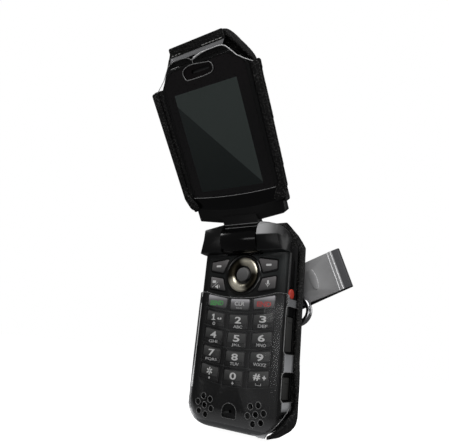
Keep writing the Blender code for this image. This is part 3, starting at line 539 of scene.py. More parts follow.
# ends the shaping of a solid: corners that meet are welded and its faces turned outwards
def closedUp(weld=0.0):
    bpy.ops.mesh.select_all(action="SELECT")
    if weld:
        bpy.ops.mesh.remove_doubles(threshold=weld)
    bpy.ops.mesh.normals_make_consistent(inside=False)
    bpy.ops.object.mode_set(mode="OBJECT")


# a shape drawn from the front as a filled ring of corners, then pulled back to its thickness
def slabPiece(name, outline, near, far, edge=0.0, place=onBase, segments=3, turn=Matrix.Identity(4)):
    piece = drawnRing([(x, near, z) for x, z in outline], "NGON")
    bpy.ops.mesh.extrude_region_move(TRANSFORM_OT_translate={"value": (0.0, (far - near) * mm, 0.0)})
    closedUp()
    if edge:
        softEdges(piece, edge, segments)
    piece.data.transform(place @ turn)
    piece.name = name
    return smoothed(piece)


# a closed section of (distance from the axis, depth) corners spun round a line along y
def spunPiece(name, section, x, z, place=onBase, steps=72):
    piece = drawnRing([(out, deep, 0.0) for out, deep in section], "NOTHING")
    bpy.ops.mesh.spin(steps=steps, angle=2 * math.pi, center=(0, 0, 0), axis=(0, 1, 0))
    closedUp(1e-6)
    piece.data.transform(place @ Matrix.Translation((x * mm, 0.0, z * mm)))
    piece.name = name
    return smoothed(piece)


# a rounded line through points: a welded or cut edge, a seam or a wire
def beadPiece(name, points, radius, closed=False, place=onBase, swell=None, sides=3):
    line = bpy.data.curves.new(name, "CURVE")
    line.dimensions = "3D"
    line.bevel_depth = radius * mm
    line.bevel_resolution = sides
    line.use_fill_caps = True
    spline = line.splines.new("POLY")
    spline.points.add(len(points) - 1)
    for i, (knot, spot) in enumerate(zip(spline.points, points)):
        knot.co = (*[v * mm for v in spot], 1.0)
        knot.radius = swell[i] if swell else 1.0
    spline.use_cyclic_u = closed
    choose(placed(name, line))
    bpy.ops.object.convert(target="MESH")
    piece = bpy.context.object
    bpy.ops.object.mode_set(mode="EDIT")
    closedUp(1e-7)
    piece.data.transform(place)
    piece.name = name
    return smoothed(piece, 60.0)


# the frame's own shape, copied and merged so that its edges can be softened
def frameCopy(name, node):
    piece = placed(name, nodes[node].data.copy())
    piece.data.materials.clear()
    choose(piece)
    bpy.ops.object.mode_set(mode="EDIT")
    bpy.ops.mesh.select_all(action="SELECT")
    bpy.ops.mesh.remove_doubles(threshold=2e-6)
    bpy.ops.mesh.dissolve_limited(angle_limit=math.radians(0.6))
    bpy.ops.object.mode_set(mode="OBJECT")
    return piece


def joined(name, pieces):
    bpy.ops.object.select_all(action="DESELECT")
    for piece in pieces:
        piece.select_set(True)
    bpy.context.view_layer.objects.active = pieces[0]
    bpy.ops.object.join()
    pieces[0].name = name
    return pieces[0]


def painted(piece, finish):
    piece.data.materials.clear()
    piece.data.materials.append(finishes[finish])
    return piece


# names the body that carries a piece and the solids that it stands for; the record's finish, slot, is not
# used
def fitted(piece, body, slot, *solids, finish=None):
    if finish:
        painted(piece, finish)
    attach(piece, body)
    if solids:
        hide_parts(*solids)
    return piece


# how far up its key each corner lies, from 0 to 1
def markRise(piece, low, high):
    rise = piece.data.attributes.new("rise", "FLOAT", "POINT")
    floor = hinge.z + low * mm
    for corner, value in zip(piece.data.vertices, rise.data):
        value.value = (corner.co.z - floor) / ((high - low) * mm)
    return piece


def lettering(name, words, x, z, high, front, wide=None, weight=0.02, thick=0.05):
    bpy.ops.object.select_all(action="DESELECT")
    bpy.ops.object.text_add()
    writing = bpy.context.object
    writing.data.body = words
    writing.data.resolution_u = 4
    writing.data.offset = weight
    writing.data.extrude = 0.5
    bpy.ops.object.convert(target="MESH")
    piece = bpy.context.object
    corners = [v.co for v in piece.data.vertices]
    low = [min(c[k] for c in corners) for k in range(3)]
    top = [max(c[k] for c in corners) for k in range(3)]
    tall = high / (top[1] - low[1])
    across = wide / (top[0] - low[0]) if wide else tall
    for corner in piece.data.vertices:
        right = (corner.co.x - (low[0] + top[0]) / 2) * across
        up = (corner.co.y - (low[1] + top[1]) / 2) * tall
        deep = -(corner.co.z / (top[2] - low[2])) * thick
        corner.co = ((x + right) * mm, (front + deep) * mm, (z + up) * mm)
    piece.data.transform(onBase)
    piece.name = name
    return piece


keypad = {
    "pitchX": 13.6, "pitchZ": 8.48, "wide": 10.8, "high": 7.0, "firstRow": -36.6, "bow": 0.0053,
    "front": 1.05, "back": 3.0, "corner": 0.75, "edge": 0.28,
}
keyPanel = {
    "front": 0.8, "back": 1.6, "high": 4.35, "drop": 0.3, "inset": 0.5, "corner": 0.45, "edge": 0.16,
}
legend = {
    "front": 0.77, "back": 1.0, "digitWide": 3.6, "digitHigh": 3.1, "lettersUp": 1.35,
    "lettersHigh": 1.4, "letterWide": 1.7,
}
keyLetters = {
    "1": "", "2": "ABC", "3": "DEF", "4": "GHI", "5": "JKL", "6": "MNO", "7": "PQRS", "8": "TUV",
    "9": "WXYZ", "*": "", "0": "", "#": "",
}
signNames = {"*": "star", "#": "hash"}
figureOne = [
    (-0.9, 1.5), (-1.7, 0.95), (-1.7, 0.35), (-1.0, 0.75), (-1.0, -1.1), (-1.7, -1.1), (-1.7, -1.5),
    (0.5, -1.5), (0.5, -1.1), (-0.2, -1.1), (-0.2, 1.5),
]


# the keys' rows bow: a corner stands higher the further out it is
def bowed(x, z):
    return z + keypad["bow"] * x * x


def keyOutline(left, right, top, low, corner):
    middle = (left + right) / 2
    return roundedOutline([
        (left, bowed(left, top), corner), (middle, bowed(middle, top), 0.0),
        (right, bowed(right, top), corner), (right, bowed(right, low), corner),
        (middle, bowed(middle, low), 0.0), (left, bowed(left, low), corner),
    ], 5)


def legendSlab(outline):
    return slabPiece("mark", outline, legend["front"], legend["back"])


# the large digit on a key's panel, and what stands beside it
def digitMarks(digit, x, z):
    front = keyPanel["front"]
    if digit == "1":
        shape = [(x - 0.4 + px, z + pz) for px, pz in reversed(figureOne)]
        spools = [legendSlab(circleOutline(x + out, z - 0.7, 0.5, 16)) for out in (1.9, 3.4)]
        tape = boxOutline(x + 1.9, x + 3.4, z - 0.95, z - 1.2, 0)
        return [legendSlab(shape), *spools, legendSlab(tape)]
    if digit == "*":
        arms = []
        for k in range(3):
            lean = math.radians(30.0 + 60.0 * k)
            arm = Vector((math.cos(lean), math.sin(lean))) * 1.7
            side = Vector((-arm.y, arm.x)).normalized() * 0.32
            centre = Vector((x, z))
            arms.append(legendSlab([
                centre - arm - side, centre + arm - side, centre + arm + side, centre - arm + side,
            ]))
        return arms
    if digit == "#":
        return [
            lettering("digit", "#", x - 0.9, z, 2.9, front, legend["digitWide"], 0.03),
            lettering("digit", "+", x + 3.0, z, 1.9, front, 1.9, 0.05),
        ]
    return [lettering("digit", digit, x, z, legend["digitHigh"], front, legend["digitWide"], 0.02)]


# the small letters or sign on a key's foot
def smallMark(digit, letters, x, z):
    front = keypad["front"]
    if letters:
        wide = len(letters) * legend["letterWide"]
        return lettering("letters", letters, x, z, legend["lettersHigh"], front, wide, 0.012)
    if digit == "1":
        rim = [(0.45, 0.98), (0.8, 0.98), (0.8, 1.2), (0.45, 1.2)]
        return spunPiece("dot", rim, x - 0.6, z, steps=24)
    if digit == "*":
        return slabPiece("dot", circleOutline(x, z, 0.5, 16), 1.0, 1.3)
    if digit == "0":
        return lettering("letters", "+", x, z, 1.3, front, 1.3, 0.05)
    space = [(-1.4, 0.5), (-1.4, -0.3), (1.4, -0.3), (1.4, 0.5)]
    return beadPiece("space", [(x + px, front, z + pz) for px, pz in space], 0.14)


def numberKey(index, label, digit, letters):
    middle = (index % 3 - 1) * keypad["pitchX"]
    top = keypad["firstRow"] - index // 3 * keypad["pitchZ"]
    low = top - keypad["high"]
    left = middle - keypad["wide"] / 2
    right = middle + keypad["wide"] / 2
    body = "key_%s_cap" % label
    outline = keyOutline(left, right, top, low, keypad["corner"])
    foot = slabPiece("number_key_" + label, outline, keypad["front"], keypad["back"], keypad["edge"])
    sag = bowed(middle, 0.0)
    markRise(foot, low + sag, top + sag)
    fitted(foot, body, "key", "key_" + label, finish="keyFoot")
    panelTop = top - keyPanel["drop"]
    panelLow = panelTop - keyPanel["high"]
    inner = keyOutline(
        left + keyPanel["inset"], right - keyPanel["inset"], panelTop, panelLow, keyPanel["corner"],
    )
    panel = slabPiece(
        "number_key_panel_" + label, inner, keyPanel["front"], keyPanel["back"], keyPanel["edge"],
    )
    markRise(panel, panelLow + sag, top + sag)
    fitted(panel, body, "key", finish="keyPanel")
    large = digitMarks(digit, middle, (panelTop + panelLow) / 2 + sag - 0.05)
    fitted(joined("legend_" + label, large), body, "key", finish="white")
    small = smallMark(digit, letters, middle, low + legend["lettersUp"] + sag)
    fitted(joined("letters_" + label, [small]), body, "key", finish="faint")


for index, (digit, letters) in enumerate(keyLetters.items()):
    numberKey(index, signNames.get(digit, digit), digit, letters)
print("number keys ready")

# a key's corners as (x, z, radius), going round
softPlan = {
    "front": 0.75, "edge": 0.4, "wellNear": 1.24, "wellFar": 1.7, "wellEdge": 0.1,
    "markNear": 0.71, "markFar": 0.8, "lineDepth": 0.70,
}
softKeys = {
    "soft_key_right": [(8.6, -9.1, 0.5), (19.0, -10.6, 0.6), (19.1, -14.8, 0.7), (11.7, -16.2, 0.7)],
    "function_key_right": [(11.5, -19.1, 0.6), (18.9, -18.0, 0.5), (18.8, -23.8, 0.7), (9.2, -25.3, 0.5)],
}
callPlan = {
    "front": 0.85, "edge": 0.35,
    "side": [(7.5, -28.9, 0.7), (19.0, -27.0, 0.5), (19.0, -32.5, 0.9), (8.1, -34.0, 0.7)],
    "middle": [(-5.3, -29.1, 0.6), (5.3, -29.1, 0.6), (5.3, -34.3, 0.7), (-5.3, -34.3, 0.7)],
}


def mirroredCorners(corners):
    return [(-x, z, radius) for x, z, radius in reversed(corners)]


# the recess that a key stands in, painted near-black: painted shade in the gap round the key
def keyWell(node, corners, margin=0.75):
    middle = sum((Vector((x, z)) for x, z, radius in corners), Vector((0, 0))) / len(corners)
    wider = []
    for x, z, radius in corners:
        away = Vector((x, z)) - middle
        wider.append((
            x + math.copysign(margin, away.x), z + math.copysign(margin, away.y), radius + margin,
        ))
    piece = slabPiece(
        node + "_well", roundedOutline(wider, 6), softPlan["wellNear"], softPlan["wellFar"],
        softPlan["wellEdge"],
    )
    return fitted(piece, "base", "case", finish="recessShade")


def flatKey(node, corners, finish, front, edge):
    piece = slabPiece(node + "_cap", roundedOutline(corners, 6), front, keypad["back"], edge, segments=4)
    heights = [z for x, z, radius in corners]
    markRise(piece, min(heights), max(heights))
    return fitted(piece, node + "_cap", "key", node, finish=finish)


def softMark(name, outline):
    return slabPiece(name, outline, softPlan["markNear"], softPlan["markFar"])


def softLine(name, points, radius):
    return beadPiece(name, [(x, softPlan["lineDepth"], z) for x, z in points], radius)


for node, corners in softKeys.items():
    opposite = node.replace("right", "left")
    flatKey(node, corners, "softKey", softPlan["front"], softPlan["edge"])
    keyWell(node, corners)
    flatKey(opposite, mirroredCorners(corners), "softKey", softPlan["front"], softPlan["edge"])
    keyWell(opposite, mirroredCorners(corners))
for x, word in ((-14.6, "left"), (14.6, "right")):
    dash = softMark("dash_" + word, boxOutline(x - 1.5, x + 1.5, -12.1, -13.1, 0.4, 4))
    fitted(dash, "soft_key_%s_cap" % word, "key", finish="white")
for node, corners in (
    ("key_end", callPlan["side"]), ("key_send", mirroredCorners(callPlan["side"])),
    ("key_clear", callPlan["middle"]),
):
    flatKey(node, corners, "callKey", callPlan["front"], callPlan["edge"])
for name, words, x, z, high, wide, weight, node, finish in (
    ("legend_send", "SEND", -13.6, -31.2, 2.35, 8.0, 0.03, "key_send", "green"),
    ("legend_end", "END", 13.6, -31.2, 2.35, 7.6, 0.03, "key_end", "redPrint"),
    ("legend_clear", "CLR", 0.0, -31.3, 1.9, 5.6, 0.015, "key_clear", "white"),
    ("legend_back", "BACK", 0.0, -33.4, 0.65, 3.4, 0.0, "key_clear", "faint"),
):
    printed = lettering(name, words, x, z, high, callPlan["front"], wide, weight)
    fitted(printed, node + "_cap", "key", finish=finish)

# the microphone mark, and the small picture and sound marks opposite
cradleTurns = [math.pi + math.pi * k / 8 for k in range(9)]
micMark = joined("microphone_mark", [
    softMark("capsule", boxOutline(14.4, 15.3, -19.9, -21.9, 0.42, 4)),
    softLine("cradle", [
        (14.85 + 1.05 * math.cos(t), -21.3 + 1.15 * math.sin(t)) for t in cradleTurns
    ], 0.13),
    softLine("stem", [(14.85, -22.4), (14.85, -23.2)], 0.13),
])
fitted(micMark, "function_key_right_cap", "key", finish="white")
soundMark = joined("sound_mark", [
    softMark("picture", boxOutline(-17.6, -15.5, -19.9, -21.2, 0.3, 3)),
    softMark("speaker", [
        (-15.6, -22.7), (-14.9, -22.7), (-13.9, -21.9), (-13.9, -24.2), (-14.9, -23.4), (-15.6, -23.4),
    ]),
    softLine("slash", [(-14.2, -20.7), (-17.4, -23.4)], 0.11),
    softLine("wave", [(-13.2, -22.3), (-12.9, -23.05), (-13.2, -23.8)], 0.11),
])
fitted(soundMark, "function_key_left_cap", "key", finish="white")
print("upper keys ready")

navPlan = {
    "z": -17.0, "steps": 96, "selectOut": 3.5, "selectFront": 0.75, "selectBack": 3.2, "selectEdge": 0.5,
}
# each section's corners as (distance from the axis, depth), going round
navSections = {
    "ring": [
        (4.6, 3.2), (8.1, 3.2), (8.62, 1.25), (8.5, 0.8), (8.1, 0.5), (7.4, 0.4), (6.2, 0.52), (5.1, 0.9),
        (4.6, 1.5),
    ],
    "bezel": [(8.92, 1.6), (10.4, 1.6), (10.4, 1.25), (10.1, 0.98), (9.5, 0.86), (9.05, 1.0), (8.92, 1.2)],
}
goldRing = spunPiece("navigator_ring", navSections["ring"], 0.0, navPlan["z"], steps=navPlan["steps"])
fitted(goldRing, "navigator", "gold", "nav_ring", finish="gold")
bezel = spunPiece("navigator_bezel", navSections["bezel"], 0.0, navPlan["z"], steps=navPlan["steps"])
fitted(bezel, "base", "case", finish="ringGloss")
select = slabPiece(
    "select_key", circleOutline(0.0, navPlan["z"], navPlan["selectOut"], 64), navPlan["selectFront"],
    navPlan["selectBack"], navPlan["selectEdge"], segments=5,
)
markRise(select, navPlan["z"] - navPlan["selectOut"] - 0.2, navPlan["z"] + navPlan["selectOut"] + 0.2)
fitted(select, "ok_button", "key", "ok_key", finish="okKey")
print("navigator ready")

# the hinge barrels' outer ends are rounded off more than the rest of the case
baseCase = frameCopy("base_case", "base_front_case")
barrelPlan = {"fromX": 11.5, "fromZ": -5.6, "cuts": 2, "turns": 22, "edge": 0.16}


def chooseBarrels(piece):
    near = [v.co - hinge for v in piece.data.vertices]
    inside = [abs(p.x) > barrelPlan["fromX"] * mm and p.z > barrelPlan["fromZ"] * mm for p in near]
    for vertex, chosen in zip(piece.data.vertices, inside):
        vertex.select = chosen
    for part in (*piece.data.edges, *piece.data.polygons):
        part.select = all(inside[i] for i in part.vertices)
    return [i for i, chosen in enumerate(inside) if chosen]


chooseBarrels(baseCase)
choose(baseCase)
bpy.ops.object.mode_set(mode="EDIT")
bpy.ops.mesh.quads_convert_to_tris()
bpy.ops.mesh.subdivide(number_cuts=barrelPlan["cuts"])
bpy.ops.object.mode_set(mode="OBJECT")
barrelPoints = chooseBarrels(baseCase)
baseCase.vertex_groups.new(name="barrels").add(barrelPoints, 1.0, "REPLACE")
applied(baseCase, "SMOOTH", factor=0.5, iterations=barrelPlan["turns"], vertex_group="barrels")
softEdges(baseCase, barrelPlan["edge"], 2, 40.0)
fitted(smoothed(baseCase), "base", "case", "base_front_case", finish="face")

linePlan = {"first": -35.35, "half": 20.6, "topHalf": 21.0, "topZ": -7.7, "radius": 0.11, "depth": 1.28}


def acrossFace(half):
    return [half * (k / 12 - 1.0) for k in range(25)]


# the fine raised lines between the rows of keys, and one above the upper keys
rowLines = []
for row in range(5):
    height = linePlan["first"] - row * keypad["pitchZ"]
    places = [(x, linePlan["depth"], bowed(x, height)) for x in acrossFace(linePlan["half"])]
    rowLines.append(beadPiece("row_line", places, linePlan["radius"]))
topPlaces = [
    (x, linePlan["depth"], linePlan["topZ"] - 0.0022 * x * x) for x in acrossFace(linePlan["topHalf"])
]
rowLines.append(beadPiece("row_line", topPlaces, linePlan["radius"] + 0.02))
fitted(joined("face_lines", rowLines), "base", "case", finish="rowLine")

# pieces of the right side are drawn from the front, then turned to face right
sideTurn = Matrix.Rotation(math.radians(90.0), 4, "Z")
redKeyPlan = {"front": 3.35, "back": 7.85, "high": -23.4, "low": -27.9, "near": -25.3, "far": -22.9}
redOutline = boxOutline(
    redKeyPlan["front"], redKeyPlan["back"], redKeyPlan["high"], redKeyPlan["low"], 1.9, 8,
)
redKey = slabPiece(
    "side_key_cap", redOutline, redKeyPlan["near"], redKeyPlan["far"], 0.45, segments=4, turn=sideTurn,
)
fitted(redKey, "side_button", "red", "side_key", finish="redKey")
rocker = softEdges(frameCopy("volume_rocker_key", "volume_rocker"), 0.2, 3, 40.0)
fitted(smoothed(rocker), "volume_rocker_cap", "key", "volume_rocker", finish="rubber")
gripPlan = {"front": 4.6, "back": 7.4, "near": -25.05, "far": -24.6, "edge": 0.12}
for word, high in (("upper", -36.1), ("lower", -62.3)):
    cover = softEdges(frameCopy("cover_" + word, "port_cover_" + word), 0.18, 3, 40.0)
    lip = roundedOutline([
        (gripPlan["front"], high - 2.6, 0.5), (gripPlan["back"], high - 2.6, 0.5),
        (gripPlan["back"], high - 1.7, 0.4), (gripPlan["front"], high - 1.7, 0.4),
    ], 4)
    grip = slabPiece("grip", lip, gripPlan["near"], gripPlan["far"], gripPlan["edge"], turn=sideTurn)
    whole = smoothed(joined("cover_" + word, [cover, grip]))
    fitted(whole, word + "_port_cover", "rubber", "port_cover_" + word, finish="rubber")
print("base ready")

threadPlan = {"long": 1.5, "gap": 0.85, "thick": 0.34, "rise": 0.2}


# one stitch is modelled, then copied along the seam
def stitchRow(name, points, facing, place=onBase, plan=threadPlan):
    facing = Vector(facing).normalized()
    knots = [Vector(p) for p in points]
    spans = [(b - a).length for a, b in zip(knots, knots[1:])]
    pitch = plan["long"] + plan["gap"]
    count = max(1, int((sum(spans) + plan["gap"]) / pitch))
    start = (sum(spans) - count * pitch + plan["gap"]) / 2 + plan["long"] / 2
    bpy.ops.object.select_all(action="DESELECT")
    bpy.ops.mesh.primitive_uv_sphere_add(segments=8, ring_count=6, radius=mm)
    first = bpy.context.object
    first.data.transform(Matrix.Diagonal((plan["long"] / 2, plan["rise"] / 2, plan["thick"] / 2, 1.0)))
    stitches = []
    for k in range(count):
        travel = start + k * pitch
        i = 0
        while i < len(spans) - 1 and travel > spans[i]:
            travel -= spans[i]
            i += 1
        along = (knots[i + 1] - knots[i]).normalized()
        spot = knots[i] + along * travel
        across = along.cross(facing)
        turned = Matrix((along, facing, across)).transposed().to_4x4()
        stitch = placed(name, first.data.copy())
        stitch.data.transform(Matrix.Translation(spot * mm) @ turned)
        stitches.append(stitch)
    bpy.data.objects.remove(first, do_unlink=True)
    piece = joined(name, stitches)
    piece.data.transform(place)
    return smoothed(piece, 60.0)


# the shell's own solid, rounded off and slightly uneven as formed leather is
def leatherShell(name, node, grain=0.45, turns=5, uneven=0.22):
    piece = frameCopy(name, node)
    applied(piece, "REMESH", mode="VOXEL", voxel_size=grain * mm, use_smooth_shade=True)
    applied(piece, "SMOOTH", factor=0.5, iterations=turns)
    sag = bpy.data.textures.new(name + "_sag", "CLOUDS")
    sag.noise_scale = 0.011
    sag.noise_depth = 1
    applied(piece, "DISPLACE", texture=sag, strength=uneven * mm, mid_level=0.5)
    return piece


leatherPlan = {
    "leather_back": ("base_leather_back", 0.45, 5, 0.22), "leather_patch": ("back_patch", 0.4, 4, 0.22),
    "ring_loop": ("d_ring_tab", 0.3, 3, 0.1),
}
for name, (node, grain, turns, uneven) in leatherPlan.items():
    fitted(leatherShell(name, node, grain, turns, uneven), "base", "leather", node, finish="leather")
seams = [
    stitchRow("seam", [(side * 27.55, 11.3, -3.0), (side * 27.55, 11.3, -55.0)], (side, 0, 0))
    for side in (-1, 1)
]
patchLine = [
    (-23.4, -5.1), (23.4, -5.1), (23.4, -18.9), (11.2, -22.0), (9.0, -35.9), (-9.0, -35.9),
    (-11.2, -22.0), (-23.4, -18.9), (-23.4, -5.1),
]
seams.append(stitchRow("seam", [(x, 18.42, z) for x, z in patchLine], (0, 1, 0)))
fitted(joined("base_stitching", seams), "base", "leather", finish="darkThread")

lidLeather = leatherShell("lid_leather", "lid_leather_back")
fitted(lidLeather, "lid", "leather", "lid_leather_back", finish="lidLeather")
bandPlan = {"front": -0.3, "back": 0.6, "edge": 0.3}
for side, word in ((-1, "left"), (1, "right")):
    strip = roundedOutline([
        (side * 22.2, 18.3, 1.5), (side * 27.0, 18.6, 3.0), (side * 29.5, 25.0, 3.0),
        (side * 30.6, 79.9, 1.2), (side * 26.9, 79.9, 0.8), (side * 26.4, 27.0, 2.0),
        (side * 22.3, 20.9, 1.0),
    ], 5)
    band = slabPiece(
        "lid_band_strip_" + word, strip, bandPlan["front"], bandPlan["back"], bandPlan["edge"], onLid,
    )
    fitted(band, "lid", "leather", "lid_band_" + word, finish="lidLeather")
bandSeams = []
for out, deep, low, facing in ((28.0, -0.32, 28.5, -1), (28.3, 2.85, 28.0, 1)):
    for side in (-1, 1):
        seam = [(side * out, deep, low), (side * (out + 0.9), deep, 78.6)]
        bandSeams.append(stitchRow("seam", seam, (0, facing, 0), onLid))
fitted(joined("lid_stitching", bandSeams), "lid", "leather", finish="darkThread")
strapPlan = {"half": 15.5, "low": 92.9, "high": 97.2, "near": 3.0, "far": 4.4, "edge": 0.35}
strapOutline = roundedOutline([
    (-strapPlan["half"], strapPlan["low"], 0.4), (-strapPlan["half"], strapPlan["high"], 0.8),
    (strapPlan["half"], strapPlan["high"], 0.8), (strapPlan["half"], strapPlan["low"], 0.4),
], 4)
strapPiece = slabPiece(
    "lid_strap", strapOutline, strapPlan["near"], strapPlan["far"], strapPlan["edge"], onLid,
)
fitted(strapPiece, "lid", "leather", "lid_top_strap", finish="lidLeather")
strapSeams = [
    stitchRow("seam", [(start, 2.98, 93.5), (end, 2.98, 93.5)], (0, -1, 0), onLid, plan)
    for start, end, plan in (
        (-14.9, -9.0, {"long": 1.5, "gap": 0.5, "thick": 0.32, "rise": 0.2}),
        (2.4, 15.2, {"long": 1.7, "gap": 0.2, "thick": 0.36, "rise": 0.2}),
    )
]
fitted(joined("strap_stitching", strapSeams), "lid", "leather", finish="paleThread")
print("leather ready")

vinylFront = smoothed(frameCopy("base_vinyl", "base_vinyl_front"), 40.0)
fitted(vinylFront, "base", "vinyl", "base_vinyl_front", finish="vinyl")

# rims of the holes that are punched in the sheet over the loudspeakers and the microphone, painted pale: a
# painted highlight on each cut edge
rimDepth = 0.16
grillePlan = {"x": 14.0, "z": -79.0, "ring": 4.1, "hole": 1.4, "rim": 0.15}
rims = []
for side in (-1, 1):
    for k in range(7):
        turn = math.radians(60 * k + 15 * side)
        out = grillePlan["ring"] if k else 0.0
        x = side * grillePlan["x"] + out * math.cos(turn)
        z = grillePlan["z"] + out * math.sin(turn)
        circle = [(px, rimDepth, pz) for px, pz in circleOutline(x, z, grillePlan["hole"], 24)]
        rims.append(beadPiece("rim", circle, grillePlan["rim"], True))
fitted(joined("speaker_hole_rims", rims), "base", "vinyl", finish="softEdge")

micPath = roundedOutline([(-4.0, -82.7, 1.0), (-4.0, -76.3, 3.8), (4.0, -76.3, 3.8), (4.0, -82.7, 1.0)], 8)
micRim = beadPiece("microphone_arch_rim", [(x, rimDepth, z) for x, z in micPath], 0.13, True)
fitted(micRim, "base", "vinyl", finish="softEdge")


# how far out the vinyl's side is at a depth, where it rounds into the front
def sideOut(y):
    reach = max(0.0, 3.45 - y)
    return 22.2 + math.sqrt(max(0.0, 3.3 * 3.3 - reach * reach))


def windowEdge(name, side, low, high):
    path = roundedOutline([(11.8, high, 0), (1.6, high, 1.6), (1.6, low, 1.6), (11.8, low, 0)], 6)
    return beadPiece(name, [(side * (sideOut(y) - 0.1), y, z) for y, z in path], 0.16)


# the left window's cut edge is a bead painted dark: painted shade
fitted(windowEdge("left_window_edge", -1, -72.4, -31.0), "base", "vinyl", finish="shadedEdge")
corner = [
    (25.45, 9.6, -74.8), (25.3, 7.4, -76.9), (24.6, 4.5, -79.6), (23.3, 2.9, -81.9),
    (21.6, 1.6, -84.1), (19.9, 0.9, -86.0), (18.9, 0.7, -87.0),
]
# the right windows' and the corner's cut edges are beads painted pale: painted highlights
cutEdges = [
    windowEdge("cut", 1, -52.7, -31.5), windowEdge("cut", 1, -72.6, -60.1), beadPiece("cut", corner, 0.16),
]
fitted(joined("vinyl_cut_edges", cutEdges), "base", "vinyl", finish="edge")
flap = slabPiece("vinyl_corner_flap", [
    (12.0, -86.9), (16.0, -87.9), (19.0, -87.7), (20.2, -85.6), (21.8, -83.7), (20.5, -82.5),
], 0.75, 1.05)
fitted(flap, "base", "vinyl", finish="vinyl")
# the sleeve's top edge is a bead painted pale: a painted highlight
topEdge = [
    (-25.4, 11.8, -28.3), (-25.4, 3.3, -28.1), (-25.1, 2.6, -26.5), (-24.4, 1.4, -26.1),
    (-23.2, 0.6, -26.0),
]
rightTop = [(-x, y, z) for x, y, z in reversed(topEdge)]
front = [(x, 0.35, -28.6 + 0.0066 * x * x) for x in range(-20, 21, 2)]
sleeveTop = beadPiece("vinyl_top_edge", topEdge + front + rightTop, 0.19)
fitted(sleeveTop, "base", "vinyl", finish="softEdge")

# the lid's sheet: its outline runs round a cut-out for the earpiece, with a slit up to the top
cutOut = [
    (-2.6, 86.95), (-5.2, 86.9), (-7.6, 86.4), (-9.2, 85.4), (-9.6, 84.2), (-9.3, 82.6), (-8.8, 81.4),
    (-7.7, 80.8), (-4.0, 80.7), (0.0, 80.7), (4.0, 80.85), (6.2, 81.2), (7.2, 82.0), (7.6, 83.4),
    (7.3, 84.8), (6.3, 85.7), (4.5, 86.0), (1.5, 86.4), (-2.3, 86.95),
]
leftShoulder = [(-27.9, 79.6), (-21.6, 84.2)]
leftLobe = [
    (-17.0, 89.4), (-15.3, 90.3), (-12.5, 90.8), (-8.8, 90.9), (-5.8, 90.6), (-3.9, 89.9), (-2.8, 88.8),
]
rightLobe = [
    (-2.2, 88.8), (-1.2, 89.3), (1.0, 89.95), (3.6, 90.4), (7.4, 90.6), (12.2, 90.6), (14.8, 90.3),
    (16.3, 89.6), (17.8, 88.0), (20.8, 84.4), (23.9, 82.2), (27.6, 80.0),
]
bottom = [(x, 23.5 + 0.0021 * x * x) for x in range(24, -25, -4)]
leftSide = leftShoulder + leftLobe
sheet = leftSide + cutOut + rightLobe + [(28.2, 25.4)] + bottom + [(-28.2, 25.4)]
lidSheet = slabPiece("lid_vinyl", sheet, 0.9, 1.3, place=onLid)
fitted(lidSheet, "lid", "vinyl", "lid_vinyl_window", finish="lidVinyl")


# the lid sheet's cut edges are beads painted pale or white: painted highlights along the edges
def sheetEdge(name, points, radius, finish="lidSoftEdge", depth=0.95, closed=False, swell=None):
    edge = beadPiece(name, [(x, depth, z) for x, z in points], radius, closed, onLid, swell)
    return fitted(edge, "lid", "vinyl", finish=finish)


swell = [0.9, 2.0, 2.3, 1.6, 1.0, 0.9, 1.0, 1.1, 1.0, 0.9, 0.9, 0.8]
sheetEdge("earpiece_cut_rim", cutOut + [(-2.45, 86.95)], 0.2, closed=True)
sheetEdge("slit_rim", [(-2.45, 86.95), (-2.4, 88.0), (-2.4, 88.9)], 0.18)
sheetEdge("vinyl_lobe_edge_right", rightLobe, 0.22, "lidEdge", 0.9, swell=swell)
sheetEdge("vinyl_lobe_edge_left", leftSide, 0.17)
sheetEdge("vinyl_bottom_edge", bottom[::-1], 0.15)
rollLine = [
    (1.0, 90.7), (1.5, 91.5), (2.4, 92.3), (3.4, 92.9), (4.8, 93.4), (4.8, 93.0), (3.5, 92.5),
    (2.6, 91.9), (1.8, 91.2), (1.3, 90.6),
]
roll = slabPiece("rolled_vinyl_top", rollLine, -15.1, 15.1, place=onLid, turn=sideTurn)
fitted(roll, "lid", "vinyl", finish="vinylRoll")
print("vinyl ready")

lidCase = softEdges(frameCopy("lid_case", "lid_front_case"), 0.2, 2, 40.0)
fitted(smoothed(lidCase), "lid", "case", "lid_front_case", finish="lidCase")
# two beads across the knuckle painted pale: painted highlights
knuckleGlints = joined("knuckle_glint_lines", [
    beadPiece("line", [(-9.6, -3.85, 5.75), (9.9, -3.85, 5.75)], 0.13),
    beadPiece("line", [(-9.6, -4.8, 7.1), (9.9, -4.8, 7.1)], 0.15),
])
fitted(knuckleGlints, "lid", "case", finish="lidSoftEdge")
kept = {
    "rear": ["base_rear_case", "battery_cover", "lid_rear_case"], "glass": ["display_window"],
    "screen": ["display_panel"], "board": ["main_board", "lid_board"], "battery": ["battery"],
    "film": ["keypad_dome_sheet", "antenna", "headset_jack", "camera_module", "earpiece"],
    # the loudspeakers and the microphone are painted near-black: painted shade in the holes over them
    "recessShade": ["loudspeaker_left", "loudspeaker_right", "microphone"],
    "steel": ["vibration_motor", "usb_connector", "hinge_cartridge", "hinge_pin", "clip_stud"],
}
for finish, names in kept.items():
    for node in names:
        painted(nodes[node], finish)
print("lid ready")

clip = softEdges(frameCopy("spring_clip", "belt_clip"), 0.1, 2, 50.0)
fitted(smoothed(clip), "clip", "nickel", "belt_clip", finish="nickel")
ribPlan = {"along": 30.6, "deep": 1.75, "half": 5.35, "sweep": 2.5}
ribTurns = [ribPlan["sweep"] * (k / 20 - 0.5) for k in range(21)]
rib = [
    (ribPlan["along"] + ribPlan["deep"] * math.cos(t), 0.0, ribPlan["half"] * math.sin(t)) for t in ribTurns
]
bendHalf = 9.85
